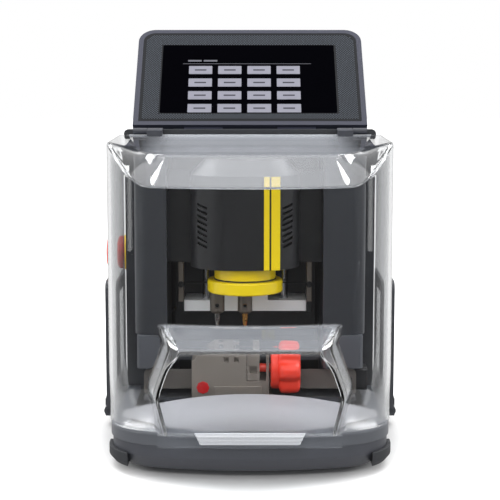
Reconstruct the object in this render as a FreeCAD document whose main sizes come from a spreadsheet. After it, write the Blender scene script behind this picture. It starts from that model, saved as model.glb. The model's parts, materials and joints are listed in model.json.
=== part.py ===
import FreeCAD, Part
import math
import os
import re
import Sketcher

os.makedirs("parts", exist_ok=True)
doc = FreeCAD.newDocument("KeyMachine")
Vec = FreeCAD.Vector
TOUCH = 0.01

# Driving sizes in millimetres and degrees
SIZES = {
    # Base casing
    "base_ledge": 0, "apron_gap": 5, "base_back": 165, "base_corner": 50, "base_bow": 320,
    "base_back_round": 26, "pan_inset": 1.5, "pan_low": 6, "seam_height": 28, "rim_height": 40,
    "pan_wall": 3, "pan_slope_out": 10, "pan_slope_up": 12, "rim_width": 17, "rim_round": 3,
    "foot_radius": 11, "foot_inset": 43, "foot_front": 100, "foot_back": 115,
    "bumper_out": 3.5, "bumper_wrap": 17, "bumper_front": 96, "bumper_back": 147, "bumper_top": 19,
    "bumper_rise": 5, "bumper_tuck": 4,
    # Front cowl
    "rim_ledge": 10, "crest_run": 68, "cowl_corner": 38, "cowl_bow": 310,
    "crest_height": 59, "crown_radius": 418, "cowl_slope": 17.4, "cowl_wall": 3, "cowl_top": 66,
    # Clear cover
    "cover_step": 4, "cover_front": 135, "cover_rear": 18, "cover_corner": 45, "cover_bow": 320,
    "cover_wall": 3, "cover_gap": 0.4, "flare_top": 78, "flare_mid": 52, "flare_mid_out": 7,
    "flare_side": -3, "flare_corner": 5, "rim_lap": 1, "brow_drop": 24, "brow_front": 98, "brow_height": 269,
    "roof_rise": 12, "side_drop": 3, "side_in": 5, "roof_over": 19,
    "bulge_out": 33, "bulge_lean": 3, "bulge_root_height": 126, "bulge_brow_height": 111,
    "bulge_top_half": 73.6, "bulge_brow_half": 68, "bulge_mid_half": 82, "bulge_mid_height": 72,
    "bulge_low_half": 73.5, "bulge_root": 23, "apron_half": 77, "apron_low": 30,
    "lip_half": 46, "lip_out": 4, "lip_low": 34.5, "lip_ridge": 1.6, "lip_ridges": 2,
    "edge_soft": 4,
    # Cover hinge
    "hinge_back": 3.5, "hinge_lift": 3, "hinge_inner": 82, "hinge_split": 96, "hinge_outer": 110,
    "hinge_radius": 3, "hinge_pin": 1.5, "leaf_front": 6, "leaf_top": 1.4,
    # Fits
    "run_fit": 0.05, "seat_gap": 0.02, "side_gap": 0.4, "slide_gap": 0.4,
    # Head shell and plinth
    "shell_step": 15, "shell_front": 45, "shell_low": 102, "roof_room": 3, "shell_wall": 3,
    "bay_half": 70.5, "plinth_low": 72, "plinth_front": 50, "plinth_step": 3,
    "ledge_front": 12, "ledge_top": 82, "plinth_round": 4,
    # Rear housing
    "housing_half": 121, "cover_clear": 4, "housing_wall": 3, "housing_round": 14,
    "deck_thick": 3, "hinge_stand": 3.5, "strip_deep": 8, "strip_rise": 19.5, "strip_step": 2,
    "panel_thick": 3, "panel_step": 13, "panel_margin": 8,
    "vent_count": 8, "vent_half": 42, "vent_tall": 4, "vent_pitch": 10, "vent_first": 150,
    # Casting, bed and vertical axis
    "bed_inset": 23, "bed_front": 100, "bed_back": 136, "bed_thick": 6,
    "upright_half": 70, "upright_front": 60, "upright_thick": 10, "upright_drop": 11,
    "arch_half": 26, "arch_top": 60, "face_clear": 4, "face_thick": 8, "face_low": 86, "face_drop": 6,
    "rib_inner": 42, "rib_thick": 9,
    "head_x": -4.5, "spindle_y": -50, "guide_x": 36, "guide_radius": 4, "guide_y": 0,
    "foot_bar_half": 56.5, "foot_bar_low": 119, "foot_bar_top": 129, "foot_bar_front": 15,
    "stem_half": 21, "stem_top": 142, "stem_depth": 8,
    "plate_drop": 38, "top_plate_thick": 6, "top_plate_front": 18, "top_plate_half": 66,
    "screw_radius": 3, "motor_side": 35, "z_motor_tall": 24, "y_motor_tall": 30,
    "motor_cut": 4,
    "strap_wide": 5, "strap_front": 22, "strap_back": 10, "strap_top": 176,
    "strap_screw_z": 145.3, "strap_screw_radius": 2.9, "strap_screw_tall": 2.2, "tie_radius": 0.8,
    "tie_depth": 12,
    # Spindle hood
    "hood_half": 49, "hood_front": 84, "hood_low": 166.5, "hood_drop": 4, "hood_corner": 38, "hood_bow": 130,
    "hood_bevel_up": 14, "hood_bevel_in": 13, "hood_wall": 2.5, "wing_front": 25, "wing_thick": 3,
    "wing_drop": 12,
    "slot_count": 8, "slot_pitch": 4.9, "slot_first": 188, "slot_tall": 2.2, "slot_long": 13, "slot_tilt": 15,
    "slot_turn": 45,
    # Spindle head
    "drum_radius": 27.5, "drum_step": 5, "ring_radius": 33.7, "ring_low": 143.7, "ring_top": 155,
    "ring_soft": 1,
    "ring_floor": 3, "chuck_radius": 6.6, "chuck_low": 123.5, "chuck_soft": 2, "chuck_screw_z": 131,
    "chuck_screw_radius": 1.9, "probe_offset": 25, "shank_radius": 2.6, "tip_radius": 0.7, "tip_low": 109.7,
    "shank_end": 117, "shaft_radius": 5, "shaft_gap": 1, "bore_gap": 0.5,
    "motor_radius": 22, "motor_room": 24, "motor_soft": 2,
    "carriage_low": 165, "head_room": 23, "carriage_half": 48, "carriage_front": 10, "carriage_back": 11,
    "saddle_arm_half": 20,
    # Y axis
    "rail_x": 68, "rail_z": 33, "rail_radius": 4, "end_bar_half": 80, "end_bar_top": 40.5,
    "front_bar_y": -92, "back_bar_y": 12, "end_bar_thick": 8,
    "saddle_half": 96, "saddle_front": 52, "saddle_back": 8, "saddle_low": 42, "saddle_thick": 4,
    "runner_half": 8, "runner_low": 25, "nut_half": 9,
    # X axis
    "block_inner": 86, "block_outer": 96, "block_front": 38, "block_back": 9, "block_top": 67,
    "carrier_gap": 2,
    "x_rod_front": 32, "x_rod_back": 14, "x_screw_y": 23, "x_axis_z": 58.5, "x_rod_radius": 3,
    "x_screw_radius": 2.5,
    "guard_half": 97.5, "guard_low": 51, "guard_top": 69, "guard_thick": 1.5, "ear_inner": 86,
    "ear_low": 46.5,
    "ear_round": 5,
    "x_motor_side": 21, "x_motor_tall": 13,
    "carrier_half": 20, "carrier_back": 9.5, "carrier_low": 46.5, "carrier_top": 66, "carrier_plate": 4,
    # Clamp
    "clamp_left": 52, "clamp_right": 17, "clamp_front": 74, "clamp_back": 42, "clamp_floor": 66,
    "clamp_top": 96,
    "clamp_slope_low": 84, "clamp_slope_in": 20, "fixed_face": -3, "jaw_gap": 0.5, "jaw_wide": 11,
    "end_wall": 2.5, "end_wall_top": 90,
    "jaw_cheek": 5, "slot_wide": 5, "slot_deep": 7, "pocket_side": 4, "pocket_step": 9, "pocket_drop": 13,
    "window_side": 6.5,
    "plate_left": 32, "plate_right": 10, "plate_top": 61, "plate_out": 1.6,
    "badge_radius": 5.8, "badge_x": -42, "badge_z": 60, "badge_tall": 1.2,
    "knob_left": 18.5, "knob_right": 45, "knob_y": -64, "knob_z": 76, "lobe_radius": 7,
    "lobe_ring": 16.6, "lobe_count": 6, "collar_radius": 19, "collar_long": 7, "vise_screw_radius": 4,
    # Screen
    "screen_half": 112, "screen_tall": 135, "screen_front": 6, "screen_back": 8, "screen_rise": 5.5,
    "screen_lean_angle": 47, "screen_round": 17, "screen_rim": 5, "bezel_thick": 3, "screen_ledge": 4,
    "screen_floor": 2, "glass_half": 85.5, "glass_margin": 23, "glass_low": 16,
    "pivot_back": 7, "pivot_lift": 15, "barrel_radius": 4.5, "barrel_pin": 2, "knuckle_inner": 26,
    "knuckle_outer": 63,
    "knuckle_end": 73, "web_half": 3, "post_half": 4,
    # Emergency stop, inlet and switch
    "stop_y": 62, "stop_z": 164, "collar_out": 6, "stop_collar_radius": 17, "stop_radius": 16,
    "stop_reach": 18.5,
    "stop_head": 8.5, "stop_stem": 8, "stop_dome": 3, "stop_inside": 2,
    "inlet_x": -66, "inlet_z": 78, "inlet_half": 25, "inlet_tall": 14, "inlet_flange": 4, "inlet_deep": 22,
    "inlet_cup_half": 13, "inlet_cup_tall": 8.5, "inlet_pin_radius": 1.2, "inlet_pin_long": 12,
    "inlet_pin_x": 7,
    "switch_x": -10, "switch_z": 78, "switch_half": 11, "switch_tall": 15, "switch_flange": 2,
    "switch_deep": 16,
    "rocker_half": 7.5, "rocker_tall": 10.5, "rocker_swing": 1.5, "rocker_out": 2, "rocker_deep": 7,
    # Carry handles
    "handle_stand": 14, "handle_z": 17, "handle_front": 12, "handle_back": 112, "handle_top": 142,
    "handle_thick": 5,
    "handle_bar": 12, "handle_leg": 12, "handle_soft": 2, "eye_radius": 5, "eye_pin": 2.5, "pivot_long": 12,
    "pivot_low": 9, "pivot_top": 26,
}

# Sizes that follow from others, so that pieces that meet keep together
DERIVED = {
    # Width
    "base_half": "housing_half + base_ledge",
    "cowl_half": "base_half - rim_ledge",
    "cover_half": "housing_half + cover_step",
    "side_top_half": "cover_half - side_in",
    "shell_half": "housing_half - shell_step",
    "plinth_half": "shell_half - plinth_step",
    "strip_half": "housing_half - strip_step",
    "panel_half": "housing_half - panel_step",
    "stop_face": "housing_half + stop_reach",
    "stop_back": "housing_half - stop_inside",
    "bumper_inner_x": "base_half - bumper_wrap",
    "foot_x": "base_half - foot_inset",
    "bed_half": "base_half - bed_inset",
    "handle_x": "base_half + handle_stand",
    "pivot_out": "handle_x + eye_radius",
    # Depth
    "bulge_front": "cover_front + bulge_out",
    "bulge_brow": "bulge_front - bulge_lean",
    "bulge_back": "cover_front - bulge_root",
    "lip_front": "bulge_front + lip_out",
    "base_front": "bulge_front - apron_gap",
    "flare_front": "base_front - cover_front - rim_lap",
    "cowl_front": "base_front - rim_ledge",
    "crest_back": "base_front - crest_run",
    "housing_front": "cover_rear + cover_clear",
    "face_front": "housing_front + face_clear",
    "hinge_y": "cover_rear + hinge_back",
    "strip_front": "hinge_y + hinge_stand",
    "strip_back": "strip_front + strip_deep",
    "pivot_y": "strip_back + pivot_back",
    # Height
    "roof_rear_height": "brow_height + roof_rise",
    "shoulder_height": "brow_height - brow_drop",
    "side_shoulder": "roof_rear_height - side_drop",
    "roof_limit": "roof_rear_height + roof_over",
    "shell_top": "brow_height - roof_room",
    "housing_top": "shell_top",
    "strip_top": "housing_top + strip_rise",
    "hinge_z": "roof_rear_height + hinge_lift",
    "pivot_z": "housing_top + pivot_lift",
    "panel_top": "housing_top - panel_margin",
    "panel_low": "rim_height + panel_margin",
    "upright_top": "shell_top - upright_drop",
    "face_top": "shell_top - face_drop",
    "hood_top": "shell_top - hood_drop",
    "wing_top": "hood_top - wing_drop",
    "top_plate_low": "shell_top - plate_drop",
    "carriage_top": "top_plate_low - head_room",
    "drum_top": "carriage_top - drum_step",
    "motor_tall": "hood_top - drum_top - motor_room",
    "shaft_top": "drum_top - shaft_gap",
    "glass_tall": "screen_tall - glass_low - glass_margin",
}

sheet = doc.addObject("Spreadsheet::Sheet", "Sizes")
for row, (alias, value) in enumerate(SIZES.items(), 1):
    sheet.set(f"A{row}", alias)
    sheet.set(f"B{row}", str(value))
    sheet.setAlias(f"B{row}", alias)
doc.recompute()

AXES = {"X": FreeCAD.Rotation(Vec(0, 1, 0), 90), "Y": FreeCAD.Rotation(Vec(1, 0, 0), -90),
        "Z": FreeCAD.Rotation()}
nodes = []


def bound(text):
    """Write an expression on the sheet from text that names sizes."""
    def spelled(match):
        name = match[0]
        if name in DERIVED:
            return f"({bound(DERIVED[name])})"
        return "Sizes." + name if name in SIZES else name
    return re.sub(r"[a-z][a-z0-9_]*", spelled, text)


def bind(target, prop, text):
    target.setExpression(prop, bound(text))


def number(text):
    return float(sheet.evalExpression(bound(text).replace("Sizes.", "")))


def place(target, x="0", y="0", z="0", rotation=None):
    target.Placement = FreeCAD.Placement(Vec(), rotation or FreeCAD.Rotation())
    for letter, text in zip("xyz", (x, y, z)):
        bind(target, "Placement.Base." + letter, text)


def box(name, x, y, z):
    """Box between pairs of limits on each axis."""
    made = doc.addObject("Part::Box", name)
    for prop, (low, high) in zip(("Length", "Width", "Height"), (x, y, z)):
        bind(made, prop, f"({high}) - ({low})")
    place(made, x[0], y[0], z[0])
    return made


def rod(name, axis, radius, along, at):
    """Cylinder along an axis between two limits, at a point given by the other two coordinates."""
    made = doc.addObject("Part::Cylinder", name)
    bind(made, "Radius", radius)
    bind(made, "Height", f"({along[1]}) - ({along[0]})")
    spot = list(at)
    spot.insert("XYZ".index(axis), along[0])
    place(made, *spot, rotation=AXES[axis])
    return made


def gather(kind, name, items):
    made = doc.addObject(kind, name)
    if kind == "Part::Compound":
        made.Links = items
    else:
        made.Shapes = items
    return made


def fuse(name, *items):
    return gather("Part::MultiFuse", name, list(items))


def common(name, *items):
    return gather("Part::MultiCommon", name, list(items))


def cut(name, base, *tools):
    made = doc.addObject("Part::Cut", name)
    made.Base = base
    made.Tool = tools[0] if len(tools) == 1 else gather("Part::Compound", name + "_tools", list(tools))
    return made


def group(name, *items):
    return gather("Part::Compound", name, list(items))


def node(name, target):
    """Name a finished sub-part and list it for export."""
    target.Label = name
    nodes.append(target)
    return target


def sketch_on(body, name, plane, offset):
    made = body.newObject("Sketcher::SketchObject", name)
    support = [item for item in body.Origin.OriginFeatures if item.Role == plane + "_Plane"]
    made.AttachmentSupport = [(support[0], "")]
    made.MapMode = "FlatFace"
    bind(made, "AttachmentOffset.Base.z", offset)
    return made


def fix(sketch, constraint, text):
    index = sketch.addConstraint(constraint)
    bind(sketch, f"Constraints[{index}]", text)


def polygon(sketch, points):
    """Closed outline whose corners are held to sizes."""
    spots = [Vec(number(x), number(y), 0) for x, y in points]
    count = len(spots)
    for index, spot in enumerate(spots):
        sketch.addGeometry(Part.LineSegment(spot, spots[(index + 1) % count]))
    for index in range(count):
        sketch.addConstraint(Sketcher.Constraint("Coincident", index, 2, (index + 1) % count, 1))
    for index, (x, y) in enumerate(points):
        fix(sketch, Sketcher.Constraint("DistanceX", -1, 1, index, 1, spots[index].x), x)
        fix(sketch, Sketcher.Constraint("DistanceY", -1, 1, index, 1, spots[index].y), y)


def bowed(sketch, half, front, back, corner, bow):
    """Plan outline with a bowed front, round front corners and straight sides and back."""
    h, f, b, c, r = (number(text) for text in (half, front, back, corner, bow))
    side_y = r - f - math.sqrt((r - c) ** 2 - (h - c) ** 2)
    away = Vec(h - c, side_y - (r - f), 0).normalize()
    right = Vec(0, r - f, 0) + away * r
    left = Vec(-right.x, right.y, 0)
    reach = c * math.sqrt(0.5)
    sketch.addGeometry(Part.LineSegment(Vec(-h, b, 0), Vec(-h, side_y, 0)))
    sketch.addGeometry(Part.Arc(Vec(-h, side_y, 0), Vec(c - h - reach, side_y - reach, 0), left))
    sketch.addGeometry(Part.Arc(left, Vec(0, -f, 0), right))
    sketch.addGeometry(Part.Arc(right, Vec(h - c + reach, side_y - reach, 0), Vec(h, side_y, 0)))
    sketch.addGeometry(Part.LineSegment(Vec(h, side_y, 0), Vec(h, b, 0)))
    sketch.addGeometry(Part.LineSegment(Vec(h, b, 0), Vec(-h, b, 0)))
    for index in range(4):
        sketch.addConstraint(Sketcher.Constraint("Tangent", index, 2, index + 1, 1))
    sketch.addConstraint(Sketcher.Constraint("Coincident", 4, 2, 5, 1))
    sketch.addConstraint(Sketcher.Constraint("Coincident", 5, 2, 0, 1))
    sketch.addConstraint(Sketcher.Constraint("Vertical", 0))
    sketch.addConstraint(Sketcher.Constraint("Vertical", 4))
    sketch.addConstraint(Sketcher.Constraint("Horizontal", 5))
    sketch.addConstraint(Sketcher.Constraint("Equal", 1, 3))
    sketch.addConstraint(Sketcher.Constraint("PointOnObject", 2, 3, -2))
    fix(sketch, Sketcher.Constraint("DistanceX", -1, 1, 4, 2, h), half)
    fix(sketch, Sketcher.Constraint("DistanceX", -1, 1, 0, 1, -h), f"-({half})")
    fix(sketch, Sketcher.Constraint("DistanceY", -1, 1, 4, 2, b), back)
    fix(sketch, Sketcher.Constraint("Radius", 1, c), corner)
    fix(sketch, Sketcher.Constraint("Radius", 2, r), bow)
    fix(sketch, Sketcher.Constraint("DistanceY", -1, 1, 2, 3, r - f), f"({bow}) - ({front})")


def pad_of(body, sketch, length):
    made = body.newObject("PartDesign::Pad", sketch.Name + "_pad")
    made.Profile = sketch
    bind(made, "Length", length)
    doc.recompute()
    return made


def prism(name, plane, points, low, high):
    """Body padded from a polygon on an origin plane between two limits along the plane's axis."""
    body = doc.addObject("PartDesign::Body", name)
    sketch = sketch_on(body, name + "_outline", plane, f"-({high})" if plane == "XZ" else low)
    polygon(sketch, points)
    pad_of(body, sketch, f"({high}) - ({low})")
    return body


def bowed_solid(name, half, front, back, corner, bow, low, high):
    body = doc.addObject("PartDesign::Body", name)
    sketch = sketch_on(body, name + "_outline", "XY", low)
    bowed(sketch, half, front, back, corner, bow)
    pad_of(body, sketch, f"({high}) - ({low})")
    return body


def dressed(body, kind, wanted, first, second=None):
    """Round or bevel the edges or faces of the body's tip that the test picks."""
    tip = body.Tip
    names = []
    for index, edge in enumerate(tip.Shape.Edges, 1):
        if wanted(edge):
            names.append(f"Edge{index}")
    made = body.newObject("PartDesign::" + kind, f"{body.Name}_{kind}{len(body.Group)}")
    made.Base = (tip, names)
    if kind == "Fillet":
        bind(made, "Radius", first)
    else:
        bind(made, "Size", first)
        if second:
            made.ChamferType = 1
            bind(made, "Size2", second)
    doc.recompute()
    return made


def beveled_face(body, up, side_size, face_size):
    """Bevel all round the flat top or bottom face of a body."""
    tip = body.Tip
    faces = tip.Shape.Faces
    flat = [f"Face{i}" for i, face in enumerate(faces, 1) if face.normalAt(0, 0).z * up > 0.9]
    made = body.newObject("PartDesign::Chamfer", body.Name + "_bevel")
    made.Base = (tip, flat)
    made.ChamferType = 1
    bind(made, "Size", side_size)
    bind(made, "Size2", face_size)
    doc.recompute()


def upright_edge(edge):
    start, end = edge.Vertexes[0].Point, edge.Vertexes[-1].Point
    return len(edge.Vertexes) == 2 and abs(start.x - end.x) + abs(start.y - end.y) < 1e-6


def along_y(edge):
    start, end = edge.Vertexes[0].Point, edge.Vertexes[-1].Point
    return len(edge.Vertexes) == 2 and abs(start.x - end.x) + abs(start.z - end.z) < 1e-6


def at_height(value):
    return lambda edge: all(abs(vertex.Z - value) < 1e-4 for vertex in edge.Vertexes)


def turned(name, profile, axis, at):
    """Body of revolution from radius and height pairs, laid along an axis."""
    body = doc.addObject("PartDesign::Body", name)
    sketch = sketch_on(body, name + "_profile", "XZ", "0")
    polygon(sketch, profile)
    made = body.newObject("PartDesign::Revolution", name + "_turn")
    made.Profile = sketch
    made.ReferenceAxis = (sketch, ["V_Axis"])
    made.Angle = 360
    place(body, *at, rotation=AXES[axis])
    doc.recompute()
    return body


def base_form(name, grow, low, high):
    """Plan of the base, grown or shrunk all round, padded between two heights."""
    body = bowed_solid(name, f"base_half + {grow}", f"base_front + {grow}", f"base_back + {grow}",
                       f"base_corner + {grow}", f"base_bow + {grow}", low, high)
    rear = number(f"base_back + {grow}") - TOUCH
    dressed(body, "Fillet", lambda edge: upright_edge(edge) and edge.Vertexes[0].Y > rear,
            f"base_back_round + {grow}")
    return body


def mirrored(maker):
    """Make the same thing on the left and on the right."""
    return [maker("left", "-1"), maker("right", "1")]


def span(side, inner, outer):
    """Limits along X of something that lies between two distances on one side."""
    return (f"-({outer})", f"-({inner})") if side == "left" else (inner, outer)


def about(middle, half):
    return (f"{middle} - ({half})", f"{middle} + ({half})")


# Base casing
pan_floor = "pan_low + pan_wall"
pan_outer = base_form("pan_outer", "(-pan_inset)", "pan_low", "seam_height")
beveled_face(pan_outer, -1, "pan_slope_up", "pan_slope_out")
pan_inner = base_form("pan_inner", "(-pan_inset - pan_wall)", pan_floor, "seam_height + pan_wall")
beveled_face(pan_inner, -1, "pan_slope_up", "pan_slope_out")
node("base_pan", cut("base_pan", pan_outer, pan_inner))

rim_outer = base_form("rim_outer", "0", "seam_height", "rim_height")
dressed(rim_outer, "Fillet", at_height(number("rim_height")), "rim_round")
rim_inner = base_form("rim_inner", "(-rim_width)", "seam_height - pan_wall", "rim_height + pan_wall")
node("base_rim", cut("base_rim", rim_outer, rim_inner))

bumper_form = base_form("bumper_form", "(bumper_out - pan_inset)", "pan_low", "bumper_top")
beveled_face(bumper_form, -1, "bumper_rise", "bumper_tuck")
bumper_skin = cut("bumper_skin", bumper_form, pan_outer)
bumper_zones = []
for side in ("left", "right"):
    reach = span(side, "bumper_inner_x", "base_half + bumper_out")
    tall = ("0", "bumper_top")
    bumper_zones.append(box(f"bumper_{side}_front", reach, ("-base_front", "-bumper_front"), tall))
    bumper_zones.append(box(f"bumper_{side}_back", reach, ("bumper_back", "base_back + bumper_out"), tall))
node("corner_bumpers", common("corner_bumpers", bumper_skin, fuse("bumper_zones", *bumper_zones)))

feet = []
for side in ("-foot_x", "foot_x"):
    for depth in ("-foot_front", "foot_back"):
        feet.append(rod("foot", "Z", "foot_radius", ("0", "pan_low"), (side, depth)))
node("rubber_feet", group("rubber_feet", *feet))


# Front cowl, a crowned panel that slopes down to the rim
def crown(name, radius):
    made = doc.addObject("Part::Cylinder", name)
    bind(made, "Radius", radius)
    bind(made, "Height", "2 * cowl_front")
    made.Placement = FreeCAD.Placement(Vec(), FreeCAD.Rotation(Vec(1, 0, 0), -60))
    bind(made, "Placement.Rotation.Angle", "cowl_slope - 90")
    bind(made, "Placement.Base.y",
         "crown_radius * sin(cowl_slope) - crest_back - cowl_front * cos(cowl_slope)")
    bind(made, "Placement.Base.z",
         "crest_height - crown_radius * cos(cowl_slope) - cowl_front * sin(cowl_slope)")
    return made


cowl_plan = bowed_solid("cowl_plan", "cowl_half", "cowl_front", "-crest_back", "cowl_corner", "cowl_bow",
                        "rim_height", "cowl_top")
cowl_hollow = bowed_solid("cowl_hollow", "cowl_half - cowl_wall", "cowl_front - cowl_wall",
                          "-crest_back - cowl_wall",
                          "cowl_corner - cowl_wall", "cowl_bow - cowl_wall", "rim_height - cowl_wall",
                          "cowl_top")
cowl_outer = common("cowl_outer", cowl_plan, crown("crown_outer", "crown_radius"))
cowl_inner = common("cowl_inner", cowl_hollow, crown("crown_inner", "crown_radius - cowl_wall"))
node("front_cowl", cut("front_cowl", cowl_outer, cowl_inner))


# Clear cover, an outer form less the same form drawn in by the wall
def cover_form(tag, inset, low, rear):
    half, front = f"(cover_half - {inset})", f"(cover_front - {inset})"
    corner, bow = f"cover_corner - {inset}", f"cover_bow - {inset}"
    drop = f"1.2 * {inset}"
    steep = "(brow_height - shoulder_height) / (cover_front - brow_front)"
    plan = bowed_solid(tag + "_plan", half, front, rear, corner, bow, "flare_top", "roof_limit")
    ends = prism(tag + "_ends", "XZ", [
        (f"-{half}", "flare_top"), (half, "flare_top"), (half, f"side_shoulder - {inset} / 2"),
        (f"side_top_half - {inset} / 2", f"roof_rear_height - {inset}"),
        (f"{inset} / 2 - side_top_half", f"roof_rear_height - {inset}"),
        (f"-{half}", f"side_shoulder - {inset} / 2")], "-roof_limit", "roof_limit")
    roof = prism(tag + "_roof", "YZ", [
        ("-bulge_front", "flare_top"), (rear, "flare_top"), (rear, f"roof_rear_height - {inset}"),
        ("-brow_front", f"brow_height - {drop}"), ("-cover_front", f"shoulder_height - {drop}"),
        ("-bulge_front", f"shoulder_height - {drop} - (bulge_front - cover_front) * {steep}")],
        "-roof_limit", "roof_limit")
    body = doc.addObject("PartDesign::Body", tag + "_flare")
    levels = [("flare_top", "0", "0", "0"),
              ("flare_mid", "flare_side / 4", "flare_mid_out", "flare_corner / 4"),
              (low, "flare_side", "flare_front", "flare_corner")]
    sections = []
    for level, (height, out, forward, rounder) in enumerate(levels):
        sketch = sketch_on(body, f"{tag}_flare{level}", "XY", height)
        bowed(sketch, f"{half} + {out}", f"{front} + {forward}", rear, f"{corner} + {rounder}", bow)
        sections.append(sketch)
    loft = body.newObject("PartDesign::AdditiveLoft", tag + "_flare_loft")
    loft.Profile = sections[0]
    loft.Sections = sections[1:]
    loft.Ruled = True
    face = prism(tag + "_bulge_face", "XZ", [
        (f"{inset} - bulge_top_half", f"bulge_root_height - {inset}"),
        (f"bulge_top_half - {inset}", f"bulge_root_height - {inset}"),
        (f"bulge_brow_half - {inset}", f"bulge_brow_height - {inset}"),
        (f"bulge_mid_half - {inset}", "bulge_mid_height"), (f"bulge_low_half - {inset}", low),
        (f"{inset} - bulge_low_half", low), (f"{inset} - bulge_mid_half", "bulge_mid_height"),
        (f"{inset} - bulge_brow_half", f"bulge_brow_height - {inset}")],
        "-bulge_front", "-bulge_back")
    side = prism(tag + "_bulge_side", "YZ", [
        ("-bulge_back", low), ("-bulge_back", f"bulge_root_height - {inset}"),
        ("-cover_front", f"bulge_root_height - {inset}"),
        (f"{inset} - bulge_brow", f"bulge_brow_height - {inset}"), (f"{inset} - bulge_front", low)],
        "-bulge_mid_half", "bulge_mid_half")
    return fuse(tag, common(tag + "_hood", plan, ends, roof), body, common(tag + "_bulge", face, side))


cover_foot = "rim_height + cover_gap"
cover_outer = cover_form("cover_outer", "0", cover_foot, "cover_rear")
cover_inner = cover_form("cover_inner", "cover_wall", "rim_height - cover_wall", "cover_rear + cover_wall")
apron = box("cover_apron", ("-apron_half", "apron_half"), ("-bulge_front", "cover_wall - bulge_front"),
            ("apron_low", "rim_height + cover_wall"))
grooves = []
for index in range(int(number("lip_ridges"))):
    foot = f"lip_low + {2 * index + 1} * lip_ridge"
    grooves.append(box(f"lip_groove{index}", ("-lip_half", "lip_half"),
                       ("-lip_front", "lip_ridge - lip_front"),
                       (foot, f"{foot} + lip_ridge")))
lip_block = box("lip_block", ("-lip_half", "lip_half"), ("-lip_front", "-bulge_front"),
                ("lip_low", "lip_low + (2 * lip_ridges + 1) * lip_ridge"))
finger_lip = cut("finger_lip", lip_block, *grooves)
node("cover_shell", fuse("cover_shell", cut("cover_wall_form", cover_outer, cover_inner), apron, finger_lip))

# Cover hinges
leaves = []
brackets = []
for side in ("left", "right"):
    leaf_span = span(side, "hinge_inner", "hinge_split")
    fixed_span = span(side, "hinge_split + side_gap", "hinge_outer")
    pin_span = span(side, "hinge_inner", "hinge_outer")
    axle = ("hinge_y", "hinge_z")
    plate = box(f"leaf_plate_{side}", leaf_span, ("leaf_front", "hinge_y"),
                ("hinge_z - 2 * hinge_radius", "hinge_z + leaf_top"))
    leaf = fuse(f"leaf_{side}", cut(f"leaf_fit_{side}", plate, cover_outer),
                rod(f"leaf_barrel_{side}", "X", "hinge_radius", leaf_span, axle))
    leaves.append(cut(f"leaf_bored_{side}", leaf,
                      rod(f"leaf_bore_{side}", "X", "hinge_pin + run_fit", leaf_span, axle)))
    brackets.append(fuse(
        f"bracket_{side}", rod(f"bracket_barrel_{side}", "X", "hinge_radius", fixed_span, axle),
        rod(f"hinge_pin_{side}", "X", "hinge_pin", pin_span, axle),
        box(f"bracket_arm_{side}", fixed_span, ("hinge_y", "strip_front"),
            ("hinge_z - leaf_top", "hinge_z + leaf_top"))))
node("cover_hinge_leaves", group("cover_hinge_leaves", *leaves))
node("cover_hinge_brackets", group("cover_hinge_brackets", *brackets))

# Head shell, two hollow cheeks either side of the head bay
shell_block = prism("shell_block", "XY", [
    ("-shell_half", "-shell_front"), ("shell_half", "-shell_front"), ("shell_half", "housing_front"),
    ("-shell_half", "housing_front")], "shell_low", "shell_top")
dressed(shell_block, "Fillet", lambda edge: upright_edge(edge) and edge.Vertexes[0].Y < 0, "housing_round")
bay = about("head_x", "bay_half")
bay_cut = box("bay_cut", bay, ("-roof_limit", "roof_limit"), ("0", "shell_top - shell_wall"))
cheek_deep = ("shell_wall - shell_front", "housing_front + shell_wall")
cheek_tall = ("shell_low + shell_wall", "shell_top - shell_wall")
cheeks = []
for side, inner, outer in (("left", f"{bay[0]} - shell_wall", "shell_wall - shell_half"),
                           ("right", f"{bay[1]} + shell_wall", "shell_half - shell_wall")):
    cheek = prism(f"cheek_{side}", "XY",
                  [(inner, cheek_deep[0]), (outer, cheek_deep[0]), (outer, cheek_deep[1]),
                                          (inner, cheek_deep[1])], *cheek_tall)
    outer_x = abs(number(outer)) - TOUCH
    dressed(cheek, "Fillet", lambda edge: upright_edge(edge) and edge.Vertexes[0].Y < 0
            and abs(edge.Vertexes[0].X) > outer_x, "housing_round - shell_wall")
    cheeks.append(cheek)
node("head_shell", cut("head_shell", shell_block, bay_cut, *cheeks))

# Plinth that steps forward below the cheeks
plinth_parts = []
plinth_hollows = []
for side, limits in (("left", ("-plinth_half", bay[0])), ("right", (bay[1], "plinth_half"))):
    block = prism(f"plinth_{side}", "XY", [
        (limits[0], "-plinth_front"), (limits[1], "-plinth_front"), (limits[1], "housing_front"),
        (limits[0], "housing_front")], "plinth_low", "shell_low")
    dressed(block, "Fillet", lambda edge: upright_edge(edge) and edge.Vertexes[0].Y < 0, "plinth_round")
    plinth_parts.append(block)
    plinth_hollows.append(box(f"plinth_hollow_{side}",
                              (f"{limits[0]} + shell_wall", f"{limits[1]} - shell_wall"),
                              ("shell_wall - plinth_front", "housing_front"),
                              ("0", "shell_low - shell_wall")))
plinth_parts.append(box("plinth_ledge", bay, ("-ledge_front", "housing_front"), ("plinth_low", "ledge_top")))
node("column_plinth", cut("column_plinth", fuse("plinth_form", *plinth_parts), *plinth_hollows))

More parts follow.
